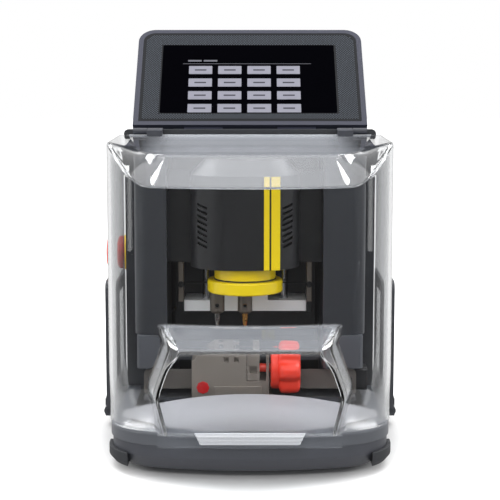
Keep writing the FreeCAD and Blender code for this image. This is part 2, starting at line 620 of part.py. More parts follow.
# Rear housing, its panel and its deck
housing_block = prism("housing_block", "XY", [
    ("-housing_half", "housing_front"), ("housing_half", "housing_front"), ("housing_half", "base_back"),
    ("-housing_half", "base_back")], "rim_height", "housing_top")
rear_edge = number("base_back") - TOUCH
dressed(housing_block, "Fillet", lambda edge: upright_edge(edge) and edge.Vertexes[0].Y > rear_edge,
        "housing_round")
housing_hollow = prism("housing_hollow", "XY", [
    ("housing_wall - housing_half", "housing_front + housing_wall"),
    ("housing_half - housing_wall", "housing_front + housing_wall"),
    ("housing_half - housing_wall", "base_back - housing_wall"),
    ("housing_wall - housing_half", "base_back - housing_wall")], "0", "roof_limit")
hollow_edge = number("base_back - housing_wall") - TOUCH
dressed(housing_hollow, "Fillet", lambda edge: upright_edge(edge) and edge.Vertexes[0].Y > hollow_edge,
        "housing_round - housing_wall")
housing_window = box("housing_window", bay, ("0", "housing_front + 2 * housing_wall"),
                     ("0", "shell_top - shell_wall"))
panel_hole = box("panel_hole", ("2 * housing_wall - panel_half", "panel_half - 2 * housing_wall"),
                 ("base_back - 2 * housing_wall", "base_back + housing_wall"),
                 ("panel_low + 2 * housing_wall", "panel_top - 2 * housing_wall"))
stop_hole = rod("stop_hole", "X", "stop_stem + side_gap", ("-roof_limit", "0"), ("stop_y", "stop_z"))
node("rear_housing", cut("rear_housing", housing_block, housing_hollow, housing_window, panel_hole,
                         stop_hole))

panel_back = "base_back + panel_thick"
panel_plate = box("panel_plate", ("-panel_half", "panel_half"), ("base_back", panel_back),
                  ("panel_low", "panel_top"))
panel_cuts = []
for index in range(int(number("vent_count"))):
    foot = f"vent_first + {index} * vent_pitch"
    panel_cuts.append(box(f"vent{index}", ("-vent_half", "vent_half"), ("base_back", panel_back),
                          (foot, f"{foot} + vent_tall")))
panel_cuts.append(box("inlet_hole", about("inlet_x", "inlet_cup_half + panel_thick + side_gap"),
                      ("base_back", panel_back), about("inlet_z", "inlet_cup_tall + panel_thick + side_gap")))
panel_cuts.append(box("switch_hole", about("switch_x", "switch_half - panel_thick / 2 + side_gap"),
                      ("base_back", panel_back),
                      about("switch_z", "switch_tall - panel_thick / 2 + side_gap")))
node("rear_panel", cut("rear_panel", panel_plate, *panel_cuts))

deck_top = "housing_top + deck_thick"
deck_plate = prism("deck_plate", "XY", [
    ("-housing_half", "housing_front"), ("housing_half", "housing_front"), ("housing_half", "base_back"),
    ("-housing_half", "base_back")], "housing_top", deck_top)
dressed(deck_plate, "Fillet", lambda edge: upright_edge(edge) and edge.Vertexes[0].Y > rear_edge,
        "housing_round")
deck_strip = prism("deck_strip", "XZ", [
    ("-strip_half", deck_top), ("strip_half", deck_top), ("strip_half", "strip_top"),
    ("-strip_half", "strip_top")],
    "strip_front", "strip_back")
strip_high = number("strip_top")
dressed(deck_strip, "Fillet", lambda edge: along_y(edge) and edge.Vertexes[0].Z > strip_high - TOUCH,
        "edge_soft")
node("top_deck", fuse("top_deck", deck_plate, deck_strip))

# Bed and column casting
bed_top = f"{pan_floor} + bed_thick"
node("machine_bed", box("machine_bed", ("-bed_half", "bed_half"), ("-bed_front", "bed_back"),
                        (pan_floor, bed_top)))
face_back = "face_front + face_thick"
casting = [
    cut("upright", box("upright_plate", ("-upright_half", "upright_half"),
                       ("upright_front", "upright_front + upright_thick"), (bed_top, "upright_top")),
        box("upright_arch", ("-arch_half", "arch_half"), ("upright_front", "upright_front + upright_thick"),
            (bed_top, "arch_top"))),
    box("face_plate", about("head_x", "bay_half - shell_wall"), ("face_front", face_back),
        ("face_low", "face_top"))]
for name, low in (("rib_left", "head_x - rib_inner - rib_thick"), ("rib_right", "head_x + rib_inner")):
    casting.append(box(name, (low, f"{low} + rib_thick"), (face_back, "upright_front"),
                       ("face_low", "upright_top")))
node("column_frame", fuse("column_frame", *casting))

# Vertical axis
guides = ("head_x - guide_x", "head_x + guide_x")
plate_top = "top_plate_low + top_plate_thick"
screw_spot = ("head_x", "guide_y")


def guide_bores(name, grow):
    made = [rod(f"{name}_bore", "Z", f"guide_radius + {grow}", ("foot_bar_low", plate_top),
                (x, "guide_y")) for x in guides]
    made.append(rod(f"{name}_screw_bore", "Z", "screw_radius + run_fit", ("foot_bar_low", plate_top),
                    screw_spot))
    return made


node("z_rods", group("z_rods", *[
    rod("z_rod", "Z", "guide_radius", ("foot_bar_low", plate_top), (x, "guide_y")) for x in guides]))
top_plate = box("top_plate", about("head_x", "top_plate_half"), ("-top_plate_front", "face_front"),
                ("top_plate_low", plate_top))
node("z_top_plate", cut("z_top_plate", top_plate, *guide_bores("top_plate", "seat_gap")))
foot_bar = box("foot_bar", about("head_x", "foot_bar_half"), ("-foot_bar_front", "face_front"),
               ("foot_bar_low", "foot_bar_top"))
bar_stem = box("bar_stem", about("head_x", "stem_half"), ("-foot_bar_front", "stem_depth - foot_bar_front"),
               ("foot_bar_low", "stem_top"))
node("z_foot_bar",
     cut("z_foot_bar", fuse("foot_bar_form", foot_bar, bar_stem), *guide_bores("foot_bar", "seat_gap")))
node("z_screw", rod("z_screw", "Z", "screw_radius", ("foot_bar_low", f"{plate_top} - seat_gap"), screw_spot))

straps = []
strap_feet = []
strap_screws = []
for sign, name in (("-", "left"), ("+", "right")):
    middle = f"head_x {sign} (foot_bar_half + strap_wide / 2)"
    reach = about(middle, "strap_wide / 2")
    deep = ("-strap_front", "-strap_back")
    straps.append(box(f"strap_{name}", reach, deep, ("foot_bar_top", "strap_top")))
    strap_feet.append(box(f"strap_foot_{name}", reach, deep, ("foot_bar_low", "foot_bar_top")))
    strap_screws.append(rod(f"strap_screw_{name}", "Y", "strap_screw_radius",
                            ("-strap_front - strap_screw_tall", "-strap_front"), (middle, "strap_screw_z")))
strap_screws.append(rod("strap_tie", "X", "tie_radius", about("head_x", "foot_bar_half"),
                        ("-tie_depth", "strap_screw_z")))
node("z_straps", group("z_straps", *straps))
node("strap_feet", group("strap_feet", *strap_feet))
node("strap_screws", group("strap_screws", *strap_screws))

# Stepper motors of the fixed axes
z_motor = prism("z_motor", "XY", [
    ("head_x - motor_side / 2", "guide_y - motor_side / 2"),
    ("head_x + motor_side / 2", "guide_y - motor_side / 2"),
    ("head_x + motor_side / 2", "guide_y + motor_side / 2"),
    ("head_x - motor_side / 2", "guide_y + motor_side / 2")],
    plate_top, f"{plate_top} + z_motor_tall")
dressed(z_motor, "Chamfer", upright_edge, "motor_cut")
y_motor_front = "back_bar_y + end_bar_thick"
y_motor = prism("y_motor", "XZ", [
    ("-motor_side / 2", "rail_z - motor_side / 2"), ("motor_side / 2", "rail_z - motor_side / 2"),
    ("motor_side / 2", "rail_z + motor_side / 2"), ("-motor_side / 2", "rail_z + motor_side / 2")],
    y_motor_front, f"{y_motor_front} + y_motor_tall")
dressed(y_motor, "Chamfer", along_y, "motor_cut")
node("axis_motors", group("axis_motors", z_motor, y_motor))


# Spindle hood with a bowed front, wings and vent slots
def hood_form(name, inset, back, low, high):
    body = bowed_solid(name, f"hood_half - {inset}", f"hood_front - {inset}", back, f"hood_corner - {inset}",
                       f"hood_bow - {inset}", low, high)
    beveled_face(body, 1, "hood_bevel_up", "hood_bevel_in")
    place(body, "head_x")
    return body


wing_back = "wing_thick - wing_front"
hood_outer = hood_form("hood_outer", "0", wing_back, "hood_low", "hood_top")
hood_inner = hood_form("hood_inner", "hood_wall", f"{wing_back} + hood_bevel_in + hood_wall",
                       "hood_low - hood_wall",
                       "hood_top - hood_wall")
wing = box("hood_wing", bay, ("-wing_front", wing_back), ("hood_low", "wing_top"))
corner_x = number("hood_half - hood_corner")
corner_y = number("hood_bow - hood_front - sqrt((hood_bow - hood_corner)^2 - (hood_half - hood_corner)^2)")
slots = []
for sign in (-1, 1):
    turn = FreeCAD.Rotation(Vec(0, 0, 1), sign * number("slot_turn"))
    turn = turn.multiply(FreeCAD.Rotation(Vec(0, 1, 0), -sign * number("slot_tilt")))
    middle = Vec(number("head_x") + sign * corner_x, corner_y, 0)
    middle += turn.multVec(Vec(0, -1, 0)) * number("hood_corner")
    for index in range(int(number("slot_count"))):
        slot = doc.addObject("Part::Box", f"hood_slot{index}")
        bind(slot, "Length", "slot_long")
        bind(slot, "Width", "4 * hood_wall")
        bind(slot, "Height", "slot_tall")
        half = Vec(number("slot_long / 2"), number("2 * hood_wall"), number("slot_tall / 2"))
        height = Vec(0, 0, number(f"slot_first + {index} * slot_pitch"))
        slot.Placement = FreeCAD.Placement(middle + height - turn.multVec(half), turn)
        slots.append(slot)
node("spindle_hood", cut("spindle_hood", fuse("hood_form", hood_outer, wing), hood_inner, *slots))

# Spindle head
spindle = ("head_x", "spindle_y")
probe = ("head_x - probe_offset", "spindle_y")
drum_low = "ring_low + ring_floor"
chuck_room = f"{drum_low} + chuck_soft"
drum = rod("drum", "Z", "drum_radius", (drum_low, "drum_top"), spindle)
node("spindle_housing", cut("spindle_housing", drum,
                            rod("shaft_bore", "Z", "shaft_radius + run_fit", (drum_low, "drum_top"), spindle),
                            rod("chuck_bore", "Z", "chuck_radius + bore_gap",
                                (drum_low, f"{chuck_room} + bore_gap"), spindle)))
ring = turned("ring", [
    ("0", "ring_low"), ("ring_radius - ring_soft", "ring_low"), ("ring_radius", "ring_low + ring_soft"),
    ("ring_radius", "ring_top - ring_soft"), ("ring_radius - ring_soft", "ring_top"),
    ("drum_radius + seat_gap", "ring_top"), ("drum_radius + seat_gap", drum_low), ("0", drum_low)], "Z",
              (*spindle, "0"))
node("light_ring", cut("light_ring", ring,
                       rod("ring_chuck_hole", "Z", "chuck_radius + bore_gap", ("ring_low", drum_low),
                           spindle),
                       rod("ring_probe_hole", "Z", "chuck_radius + seat_gap", ("ring_low", drum_low), probe)))
spindle_motor = turned("spindle_motor", [
    ("0", "drum_top"), ("motor_radius", "drum_top"), ("motor_radius", "drum_top + motor_tall - motor_soft"),
    ("motor_radius - motor_soft", "drum_top + motor_tall"), ("0", "drum_top + motor_tall")], "Z",
                       (*spindle, "0"))
node("spindle_motor", spindle_motor)


def chuck(name, at, top):
    """Collet chuck with a shank bore and a side screw hole."""
    form = turned(name + "_form", [
        ("0", "chuck_low"), ("chuck_radius - chuck_soft", "chuck_low"),
        ("chuck_radius", "chuck_low + chuck_soft"),
        ("chuck_radius", top), ("0", top)], "Z", (*at, "0"))
    return cut(name, form,
               rod(name + "_bore", "Z", "shank_radius + seat_gap", ("chuck_low", "ring_low - chuck_soft"),
                   at),
               rod(name + "_screw_hole", "Y", "chuck_screw_radius", (f"{at[1]} - chuck_radius", at[1]),
                   (at[0], "chuck_screw_z")))


def tool(name, at):
    """Pointed tool held by its shank."""
    return turned(name, [
        ("0", "tip_low"), ("tip_radius", "tip_low"), ("shank_radius", "shank_end"),
        ("shank_radius", "ring_low - chuck_soft"), ("0", "ring_low - chuck_soft")], "Z", (*at, "0"))


node("cutter_chuck", chuck("cutter_chuck", spindle, chuck_room))
node("cutter", tool("cutter", spindle))
node("probe_chuck", chuck("probe_chuck", probe, drum_low))
node("probe_tip", tool("probe_tip", probe))
node("spindle_shaft", rod("spindle_shaft", "Z", "shaft_radius", (chuck_room, "shaft_top"), spindle))

carriage_tall = ("carriage_low", "carriage_top")
carriage_block = box("carriage_block", about("head_x", "carriage_half"),
                     ("-carriage_front", "carriage_back"), carriage_tall)
carriage_arm = box("carriage_arm", about("head_x", "saddle_arm_half"), ("spindle_y", "-carriage_front"),
                   carriage_tall)
carriage_seat = rod("carriage_seat", "Z", "drum_radius", carriage_tall, spindle)
carriage_motor_room = rod("carriage_motor_room", "Z", "motor_radius + seat_gap",
                          ("drum_top", "carriage_top"), spindle)
node("head_carriage", cut("head_carriage", fuse("carriage_form", carriage_block, carriage_arm), carriage_seat,
                          carriage_motor_room, *guide_bores("carriage", "run_fit")))

# Y axis in the base
rails = ("-rail_x", "rail_x")
rail_long = ("front_bar_y", "back_bar_y + end_bar_thick")


def rail_bores(name, grow):
    made = [rod(f"{name}_bore", "Y", f"rail_radius + {grow}", rail_long, (x, "rail_z")) for x in rails]
    made.append(rod(f"{name}_screw_bore", "Y", "screw_radius + run_fit", rail_long, ("0", "rail_z")))
    return made


node("y_rods", group("y_rods", *[rod("y_rod", "Y", "rail_radius", rail_long, (x, "rail_z")) for x in rails]))
end_bars = []
for name, low in (("front_bar", "front_bar_y"), ("back_bar", "back_bar_y")):
    bar = box(name, ("-end_bar_half", "end_bar_half"), (low, f"{low} + end_bar_thick"),
              (bed_top, "end_bar_top"))
    end_bars.append(cut(name + "_bored", bar, *rail_bores(name, "seat_gap")))
node("y_end_bars", group("y_end_bars", *end_bars))
node("y_screw",
     rod("y_screw", "Y", "screw_radius", ("front_bar_y", "back_bar_y + end_bar_thick - seat_gap"),
         ("0", "rail_z")))

saddle_deep = ("-saddle_front", "-saddle_back")
saddle_top = "saddle_low + saddle_thick"
saddle_form = [box("saddle_plate", ("-saddle_half", "saddle_half"), saddle_deep, ("saddle_low", saddle_top))]
for middle, half in (("-rail_x", "runner_half"), ("rail_x", "runner_half"), ("0", "nut_half")):
    saddle_form.append(box("saddle_runner", about(middle, half), saddle_deep, ("runner_low", "saddle_low")))
node("y_saddle", cut("y_saddle", fuse("saddle_form", *saddle_form), *rail_bores("saddle", "run_fit")))

# X axis on the saddle
x_long = ("-block_outer", "block_outer")


def x_bores(name, grow):
    made = [rod(f"{name}_bore", "X", f"x_rod_radius + {grow}", x_long,
                (y, "x_axis_z")) for y in ("-x_rod_front", "-x_rod_back")]
    made.append(rod(f"{name}_screw_bore", "X", "x_screw_radius + run_fit", x_long,
                    ("-x_screw_y", "x_axis_z")))
    return made


end_blocks = []
for side in ("left", "right"):
    block = box(f"block_{side}", span(side, "block_inner", "block_outer"), ("-block_front", "-block_back"),
                (saddle_top, "block_top"))
    end_blocks.append(cut(f"block_{side}_bored", block, *x_bores(f"block_{side}", "seat_gap")))
node("x_end_blocks", group("x_end_blocks", *end_blocks))
node("x_rods", group("x_rods", *[
    rod("x_rod", "X", "x_rod_radius", x_long, (y, "x_axis_z")) for y in ("-x_rod_front", "-x_rod_back")]))
node("x_screw", rod("x_screw", "X", "x_screw_radius", ("-block_outer", "block_outer - seat_gap"),
                    ("-x_screw_y", "x_axis_z")))
x_motor = prism("x_motor", "YZ", [
    ("-x_screw_y - x_motor_side / 2", "x_axis_z - x_motor_side / 2"),
    ("-x_screw_y + x_motor_side / 2", "x_axis_z - x_motor_side / 2"),
    ("-x_screw_y + x_motor_side / 2", "x_axis_z + x_motor_side / 2"),
    ("-x_screw_y - x_motor_side / 2", "x_axis_z + x_motor_side / 2")],
    "block_outer", "block_outer + x_motor_tall")
dressed(x_motor, "Chamfer", lambda edge: abs(edge.Vertexes[0].X - edge.Vertexes[-1].X) > 1, "motor_cut / 2")
node("x_motor", x_motor)
guard = prism("x_guard", "XZ", [
    ("-guard_half", "ear_low"), ("-ear_inner", "ear_low"), ("-ear_inner", "guard_low"),
    ("ear_inner", "guard_low"),
    ("ear_inner", "ear_low"), ("guard_half", "ear_low"), ("guard_half", "guard_top"),
    ("-guard_half", "guard_top")],
    "-block_front - guard_thick", "-block_front")
guard_high = number("guard_top")
dressed(guard, "Fillet", lambda edge: along_y(edge) and edge.Vertexes[0].Z > guard_high - TOUCH, "ear_round")
node("x_guard", guard)

# X carriage and clamp
plate_high = "carrier_low + carrier_plate"
carrier_plate = box("carrier_plate", ("-carrier_half", "carrier_half"),
                    ("slide_gap - clamp_front", "-carrier_back"),
                    ("carrier_low", plate_high))
carrier_block = box("carrier_block", ("-carrier_half", "carrier_half"),
                    ("carrier_gap - block_front", "-carrier_back"),
                    ("carrier_low", "carrier_top"))
node("x_carriage", cut("x_carriage", fuse("carrier_form", carrier_plate, carrier_block),
                       *x_bores("carrier", "run_fit")))

clamp_deep = ("-clamp_front", "-clamp_back")
wall_left = "clamp_right - end_wall"
clamp_profile = prism("clamp_profile", "XZ", [
    ("-clamp_left", plate_high), ("clamp_right", plate_high), ("clamp_right", "end_wall_top"),
    (wall_left, "end_wall_top"),
    (wall_left, "clamp_floor"), ("fixed_face", "clamp_floor"), ("fixed_face", "clamp_top"),
    ("clamp_slope_in - clamp_left", "clamp_top"), ("-clamp_left", "clamp_slope_low")], *clamp_deep)
clamp_plate = box("clamp_plate", ("-plate_left", "plate_right"), ("-clamp_front - plate_out", "-clamp_front"),
                  (plate_high, "plate_top"))
vise_bore = rod("vise_bore", "X", "vise_screw_radius + run_fit", ("fixed_face", "clamp_right"),
                ("knob_y", "knob_z"))
pockets = []
for index, middle in enumerate(("fixed_face - 2 * pocket_step", "fixed_face - pocket_step")):
    pockets.append(box(f"clamp_pocket{index}", about(middle, "pocket_side / 2"),
                       ("-clamp_front", "pocket_side - clamp_front"),
                       ("clamp_top - pocket_drop", "clamp_top - pocket_drop + pocket_side")))
key_slot = box("key_slot", ("fixed_face - slot_deep", "fixed_face"), clamp_deep,
               ("clamp_top - slot_wide", "clamp_top"))
node("clamp_body", cut("clamp_body", fuse("clamp_form", clamp_profile, clamp_plate), vise_bore, key_slot,
                       *pockets))

jaw_left = "fixed_face + jaw_gap"
jaw_block = box("jaw_block", (jaw_left, f"{jaw_left} + jaw_wide"), clamp_deep,
                ("clamp_floor + slide_gap", "clamp_top"))
jaw_window = box("jaw_window", about(f"{jaw_left} + jaw_wide / 2", "window_side / 2"),
                 ("-clamp_front", "jaw_cheek - clamp_front"), about("knob_z", "window_side / 2"))
jaw_lip = box("jaw_lip", (jaw_left, f"{jaw_left} + jaw_cheek"), clamp_deep,
              ("clamp_top - slot_wide", "clamp_top"))
jaw_bore = rod("jaw_bore", "X", "vise_screw_radius + run_fit", (jaw_left, f"{jaw_left} + jaw_wide"),
               ("knob_y", "knob_z"))
node("clamp_jaw", cut("clamp_jaw", jaw_block, jaw_window, jaw_lip, jaw_bore))

badge = doc.addObject("Part::Prism", "clamp_badge")
badge.Polygon = 8
bind(badge, "Circumradius", "badge_radius")
bind(badge, "Height", "badge_tall")
place(badge, "badge_x", "-clamp_front - badge_tall", "badge_z", AXES["Y"])
node("clamp_badge", badge)

knob_spot = ("knob_y", "knob_z")
knob_parts = [
    rod("knob_collar", "X", "collar_radius", ("knob_left", "knob_left + collar_long"), knob_spot),
    rod("knob_core", "X", "lobe_ring", ("knob_left", "knob_right"), knob_spot),
    rod("vise_screw", "X", "vise_screw_radius", ("fixed_face + collar_long", "knob_left"), knob_spot)]
lobes = int(number("lobe_count"))
for index in range(lobes):
    angle = f"{360 * index / lobes}"
    knob_parts.append(rod(f"knob_lobe{index}", "X", "lobe_radius", ("knob_left + collar_long", "knob_right"),
                          (f"knob_y + lobe_ring * cos({angle})", f"knob_z + lobe_ring * sin({angle})")))
node("clamp_knob", fuse("clamp_knob", *knob_parts))


# Tilting screen, drawn upright about its pivot and then leaned back
def screen_slab(name, inset, front, back):
    low, high = f"screen_rise + {inset}", f"screen_rise + screen_tall - {inset}"
    half = f"(screen_half - {inset})"
    body = prism(name, "XZ", [(f"-{half}", low), (half, low), (half, high), (f"-{half}", high)], front, back)
    tall = number(high)
    dressed(body, "Fillet", lambda edge: along_y(edge) and edge.Vertexes[0].Z > tall - TOUCH,
            f"screen_round - {inset}")
    return body


def lean_back(target):
    target.Placement = FreeCAD.Placement(Vec(), FreeCAD.Rotation(Vec(1, 0, 0), -30))
    bind(target, "Placement.Rotation.Angle", "-screen_lean_angle")
    bind(target, "Placement.Base.y", "pivot_y")
    bind(target, "Placement.Base.z", "pivot_z")
    return target


bezel_back = "bezel_thick - screen_front"
screen_parts = [cut("screen_tray", screen_slab("screen_case", "0", "-screen_front", "screen_back"),
                    screen_slab("bezel_seat", "screen_rim", "-screen_front", bezel_back),
                    screen_slab("screen_hollow", "(screen_rim + screen_ledge)", bezel_back,
                                "screen_back - screen_floor"))]
knuckle_bores = []
posts = [rod("screen_pin", "X", "barrel_pin", ("-knuckle_end", "knuckle_end"), ("pivot_y", "pivot_z"))]
for side in ("left", "right"):
    reach = span(side, "knuckle_inner", "knuckle_outer")
    screen_parts.append(rod(f"knuckle_{side}", "X", "barrel_radius", reach, ("0", "0")))
    screen_parts.append(box(f"knuckle_web_{side}", reach, ("-web_half", "web_half"),
                            ("0", "screen_rise + screen_floor")))
    knuckle_bores.append(rod(f"knuckle_bore_{side}", "X", "barrel_pin + run_fit", reach, ("0", "0")))
fixed_spans = [("side_gap - knuckle_inner", "knuckle_inner - side_gap")]
fixed_spans += [span(side, "knuckle_outer + side_gap", "knuckle_end") for side in ("left", "right")]
for reach in fixed_spans:
    posts.append(rod("post_barrel", "X", "barrel_radius", reach, ("pivot_y", "pivot_z")))
    posts.append(box("post", reach, about("pivot_y", "post_half"), (deck_top, "pivot_z")))
node("screen_shell", lean_back(cut("screen_shell", fuse("screen_form", *screen_parts), *knuckle_bores)))
glass_limits = (("-glass_half", "glass_half"), ("-screen_front", bezel_back),
                ("screen_rise + glass_low", "screen_rise + glass_low + glass_tall"))
bezel = cut("screen_bezel", screen_slab("bezel_plate", "screen_rim", "-screen_front", bezel_back),
            box("glass_window", *glass_limits))
node("screen_bezel", lean_back(bezel))
glass = box("glass_plate", *glass_limits)
node("screen_glass", lean_back(group("screen_glass", glass)))
node("screen_hinge_bracket", fuse("screen_hinge_bracket", *posts))

# Emergency stop on the left side
stop_spot = ("stop_y", "stop_z")
collar_face = "housing_half + collar_out"
stop_collar = rod("stop_collar", "X", "stop_collar_radius", (f"-({collar_face})", "-housing_half"), stop_spot)
stop_bore = rod("stop_bore", "X", "stop_stem + side_gap", (f"-({collar_face})", "-housing_half"), stop_spot)
node("estop_collar", cut("estop_collar", stop_collar, stop_bore))
head_back = "stop_head - stop_face"
node("estop_button", turned("estop_button", [
    ("0", "-stop_face"), ("stop_radius - stop_dome", "-stop_face"), ("stop_radius", "stop_dome - stop_face"),
    ("stop_radius", head_back), ("stop_stem", head_back), ("stop_stem", "-stop_back"), ("0", "-stop_back")],
    "X", ("0", *stop_spot)))

# Power inlet and switch on the rear panel
inlet_flange = box("inlet_flange", about("inlet_x", "inlet_half"),
                   (panel_back, f"{panel_back} + inlet_flange"),
                   about("inlet_z", "inlet_tall"))
inlet_body = box("inlet_body", about("inlet_x", "inlet_cup_half + panel_thick"),
                 (f"{panel_back} - inlet_deep", panel_back),
                 about("inlet_z", "inlet_cup_tall + panel_thick"))
inlet_cup = box("inlet_cup", about("inlet_x", "inlet_cup_half"),
                (f"{panel_back} - inlet_deep + panel_thick", f"{panel_back} + inlet_flange"),
                about("inlet_z", "inlet_cup_tall"))
inlet_floor = f"{panel_back} - inlet_deep + panel_thick"
pins = [rod("inlet_pin", "Y", "inlet_pin_radius",
            (f"{inlet_floor} - panel_thick / 2", f"{inlet_floor} + inlet_pin_long"),
            (f"inlet_x + {step} * inlet_pin_x", f"inlet_z - {rise} * inlet_pin_radius"))
        for step, rise in (("-1", "1"), ("0", "-2"), ("1", "1"))]
node("power_inlet",
     fuse("power_inlet", cut("inlet_shell", fuse("inlet_form", inlet_flange, inlet_body), inlet_cup), *pins))
switch_flange = box("switch_flange_plate", about("switch_x", "switch_half"),
                    (panel_back, f"{panel_back} + switch_flange"),
                    about("switch_z", "switch_tall"))
switch_body = box("switch_body", about("switch_x", "switch_half - panel_thick / 2"),
                  (f"{panel_back} - switch_deep", panel_back),
                  about("switch_z", "switch_tall - panel_thick / 2"))
rocker_room = box("rocker_room", about("switch_x", "rocker_half + side_gap"),
                  (f"{panel_back} - switch_deep + panel_thick", f"{panel_back} + switch_flange"),
                  about("switch_z", "rocker_tall + rocker_swing"))
node("switch_frame", cut("switch_frame", fuse("switch_form", switch_flange, switch_body), rocker_room))
rocker_face = f"{panel_back} + rocker_out"
node("power_rocker", prism("power_rocker", "YZ", [
    (f"{panel_back} - rocker_deep", "switch_z - rocker_half"), (rocker_face, "switch_z - rocker_tall"),
    (f"{rocker_face} + rocker_out / 2", "switch_z"), (rocker_face, "switch_z + rocker_tall"),
    (f"{panel_back} - rocker_deep", "switch_z + rocker_half")], *about("switch_x", "rocker_half")))

# Fold-out carry handles
blocks = []
for side, sign in (("left", "-"), ("right", "")):
    middle = f"{sign}handle_x"
    thick = about(middle, "handle_thick / 2")
    frame = prism(f"handle_frame_{side}", "YZ", [
        ("handle_front", "handle_z"), ("handle_front", "handle_top"), ("handle_back", "handle_top"),
        ("handle_back", "handle_z"), ("handle_back - handle_leg", "handle_z"),
        ("handle_back - handle_leg", "handle_top - handle_bar"),
        ("handle_front + handle_leg", "handle_top - handle_bar"),
        ("handle_front + handle_leg", "handle_z")], *thick)
    handle_high = number("handle_top")
    dressed(frame, "Fillet", lambda edge: abs(edge.Vertexes[0].X - edge.Vertexes[-1].X) > 1
            and edge.Vertexes[0].Z > handle_high - TOUCH, "handle_bar / 2 + handle_soft")
    eyes = []
    bores = []
    for end, low, high, out in (("front", "handle_front", "handle_front + handle_leg", "1"),
                                ("back", "handle_back - handle_leg", "handle_back", "-1")):
        eyes.append(rod(f"eye_{side}_{end}", "Y", "eye_radius", (low, high), (middle, "handle_z")))
        bores.append(rod(f"eye_bore_{side}_{end}", "Y", "eye_pin + run_fit", (low, high),
                         (middle, "handle_z")))
        near = f"{high} + side_gap" if end == "front" else f"{low} - side_gap - pivot_long"
        far = f"{near} + pivot_long"
        block = box(f"pivot_{side}_{end}", span(side, "bumper_inner_x", "pivot_out"), (near, far),
                    ("pivot_low", "pivot_top"))
        pin_long = (low, far) if end == "front" else (near, high)
        blocks.append(fuse(f"pivot_set_{side}_{end}", cut(f"pivot_fit_{side}_{end}", block, pan_outer),
                           rod(f"pivot_pin_{side}_{end}", "Y", "eye_pin", pin_long, (middle, "handle_z"))))
    node(f"handle_{side}", cut(f"handle_{side}", fuse(f"handle_form_{side}", frame, *eyes), *bores))
node("handle_blocks", group("handle_blocks", *blocks))

# Check every object and write the files
doc.recompute()
for item in doc.Objects:
    if "Invalid" in item.State or "Error" in item.State:
        raise RuntimeError(f"{item.Name} did not build: {item.State}")
for item in nodes:
    shape = item.Shape
    if shape.isNull() or not shape.isValid() or not shape.Solids:
        raise RuntimeError(f"{item.Label} has no sound solid")
    shape.exportStep(f"parts/{item.Label}.step")
    limits = shape.BoundBox
    print(item.Label, len(shape.Solids), round(shape.Volume), [round(value, 1) for value in (
        limits.XMin, limits.XMax, limits.YMin, limits.YMax, limits.ZMin, limits.ZMax)])
print(len(nodes), "sub-parts")
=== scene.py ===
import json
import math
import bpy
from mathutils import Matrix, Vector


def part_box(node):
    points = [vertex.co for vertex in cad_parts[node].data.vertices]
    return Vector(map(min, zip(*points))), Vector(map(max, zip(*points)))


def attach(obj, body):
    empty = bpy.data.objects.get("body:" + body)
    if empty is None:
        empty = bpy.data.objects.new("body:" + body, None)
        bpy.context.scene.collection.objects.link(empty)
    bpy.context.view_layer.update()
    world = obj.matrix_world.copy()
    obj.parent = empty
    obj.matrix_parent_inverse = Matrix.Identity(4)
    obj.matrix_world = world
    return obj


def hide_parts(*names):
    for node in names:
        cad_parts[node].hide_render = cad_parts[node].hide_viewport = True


bl_info = {
    "name": "Key Duplicating Machine",
    "version": (1, 0, 0),
    "blender": (4, 5, 0),
    "location": "3D View > Sidebar > Key Machine",
    "description": "Dresses the solids of a bench-top key duplicating machine",
    "category": "Object",
}

from collections import namedtuple

import bmesh
import bpy
from bpy.props import FloatProperty, FloatVectorProperty, IntProperty, PointerProperty
from bpy.types import Operator, Panel, PropertyGroup
from mathutils import Matrix, Vector

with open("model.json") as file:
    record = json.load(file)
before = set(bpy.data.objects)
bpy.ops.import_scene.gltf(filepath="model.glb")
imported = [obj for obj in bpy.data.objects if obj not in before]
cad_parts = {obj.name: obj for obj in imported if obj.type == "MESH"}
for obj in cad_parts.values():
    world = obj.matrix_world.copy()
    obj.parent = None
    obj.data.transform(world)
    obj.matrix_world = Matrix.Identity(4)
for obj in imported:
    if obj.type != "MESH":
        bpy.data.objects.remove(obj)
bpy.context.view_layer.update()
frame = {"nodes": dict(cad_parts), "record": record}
MM = 0.001
BEHAVIOUR = frame["record"]["behaviour"]
BODY_OF = {node: body for body, nodes in BEHAVIOUR["bodies"].items() for node in nodes}
JOINT_AT = {joint["child"]: Vector(joint["pos_m"]) for joint in BEHAVIOUR["joints"] if "pos_m" in joint}


def srgb(red, green, blue):
    """Linear colour from 8-bit screen values."""
    values = (channel / 255 for channel in (red, green, blue))
    return tuple(v / 12.92 if v <= 0.04045 else ((v + 0.055) / 1.055) ** 2.4 for v in values)


def length(name, description, millimetres):
    return FloatProperty(name=name, description=description, default=millimetres * MM, unit="LENGTH",
                         precision=4)


def tilt(name, description, degrees):
    return FloatProperty(name=name, description=description, default=math.radians(degrees), subtype="ANGLE")


def portion(name, description, value):
    return FloatProperty(name=name, description=description, default=value, subtype="FACTOR", min=0, max=1)


def watts(name, description, power):
    return FloatProperty(name=name, description=description, default=power, unit="POWER")


def colour(name, description, red, green, blue):
    return FloatVectorProperty(name=name, description=description, default=srgb(red, green, blue),
                               subtype="COLOR", size=3, min=0, max=1)


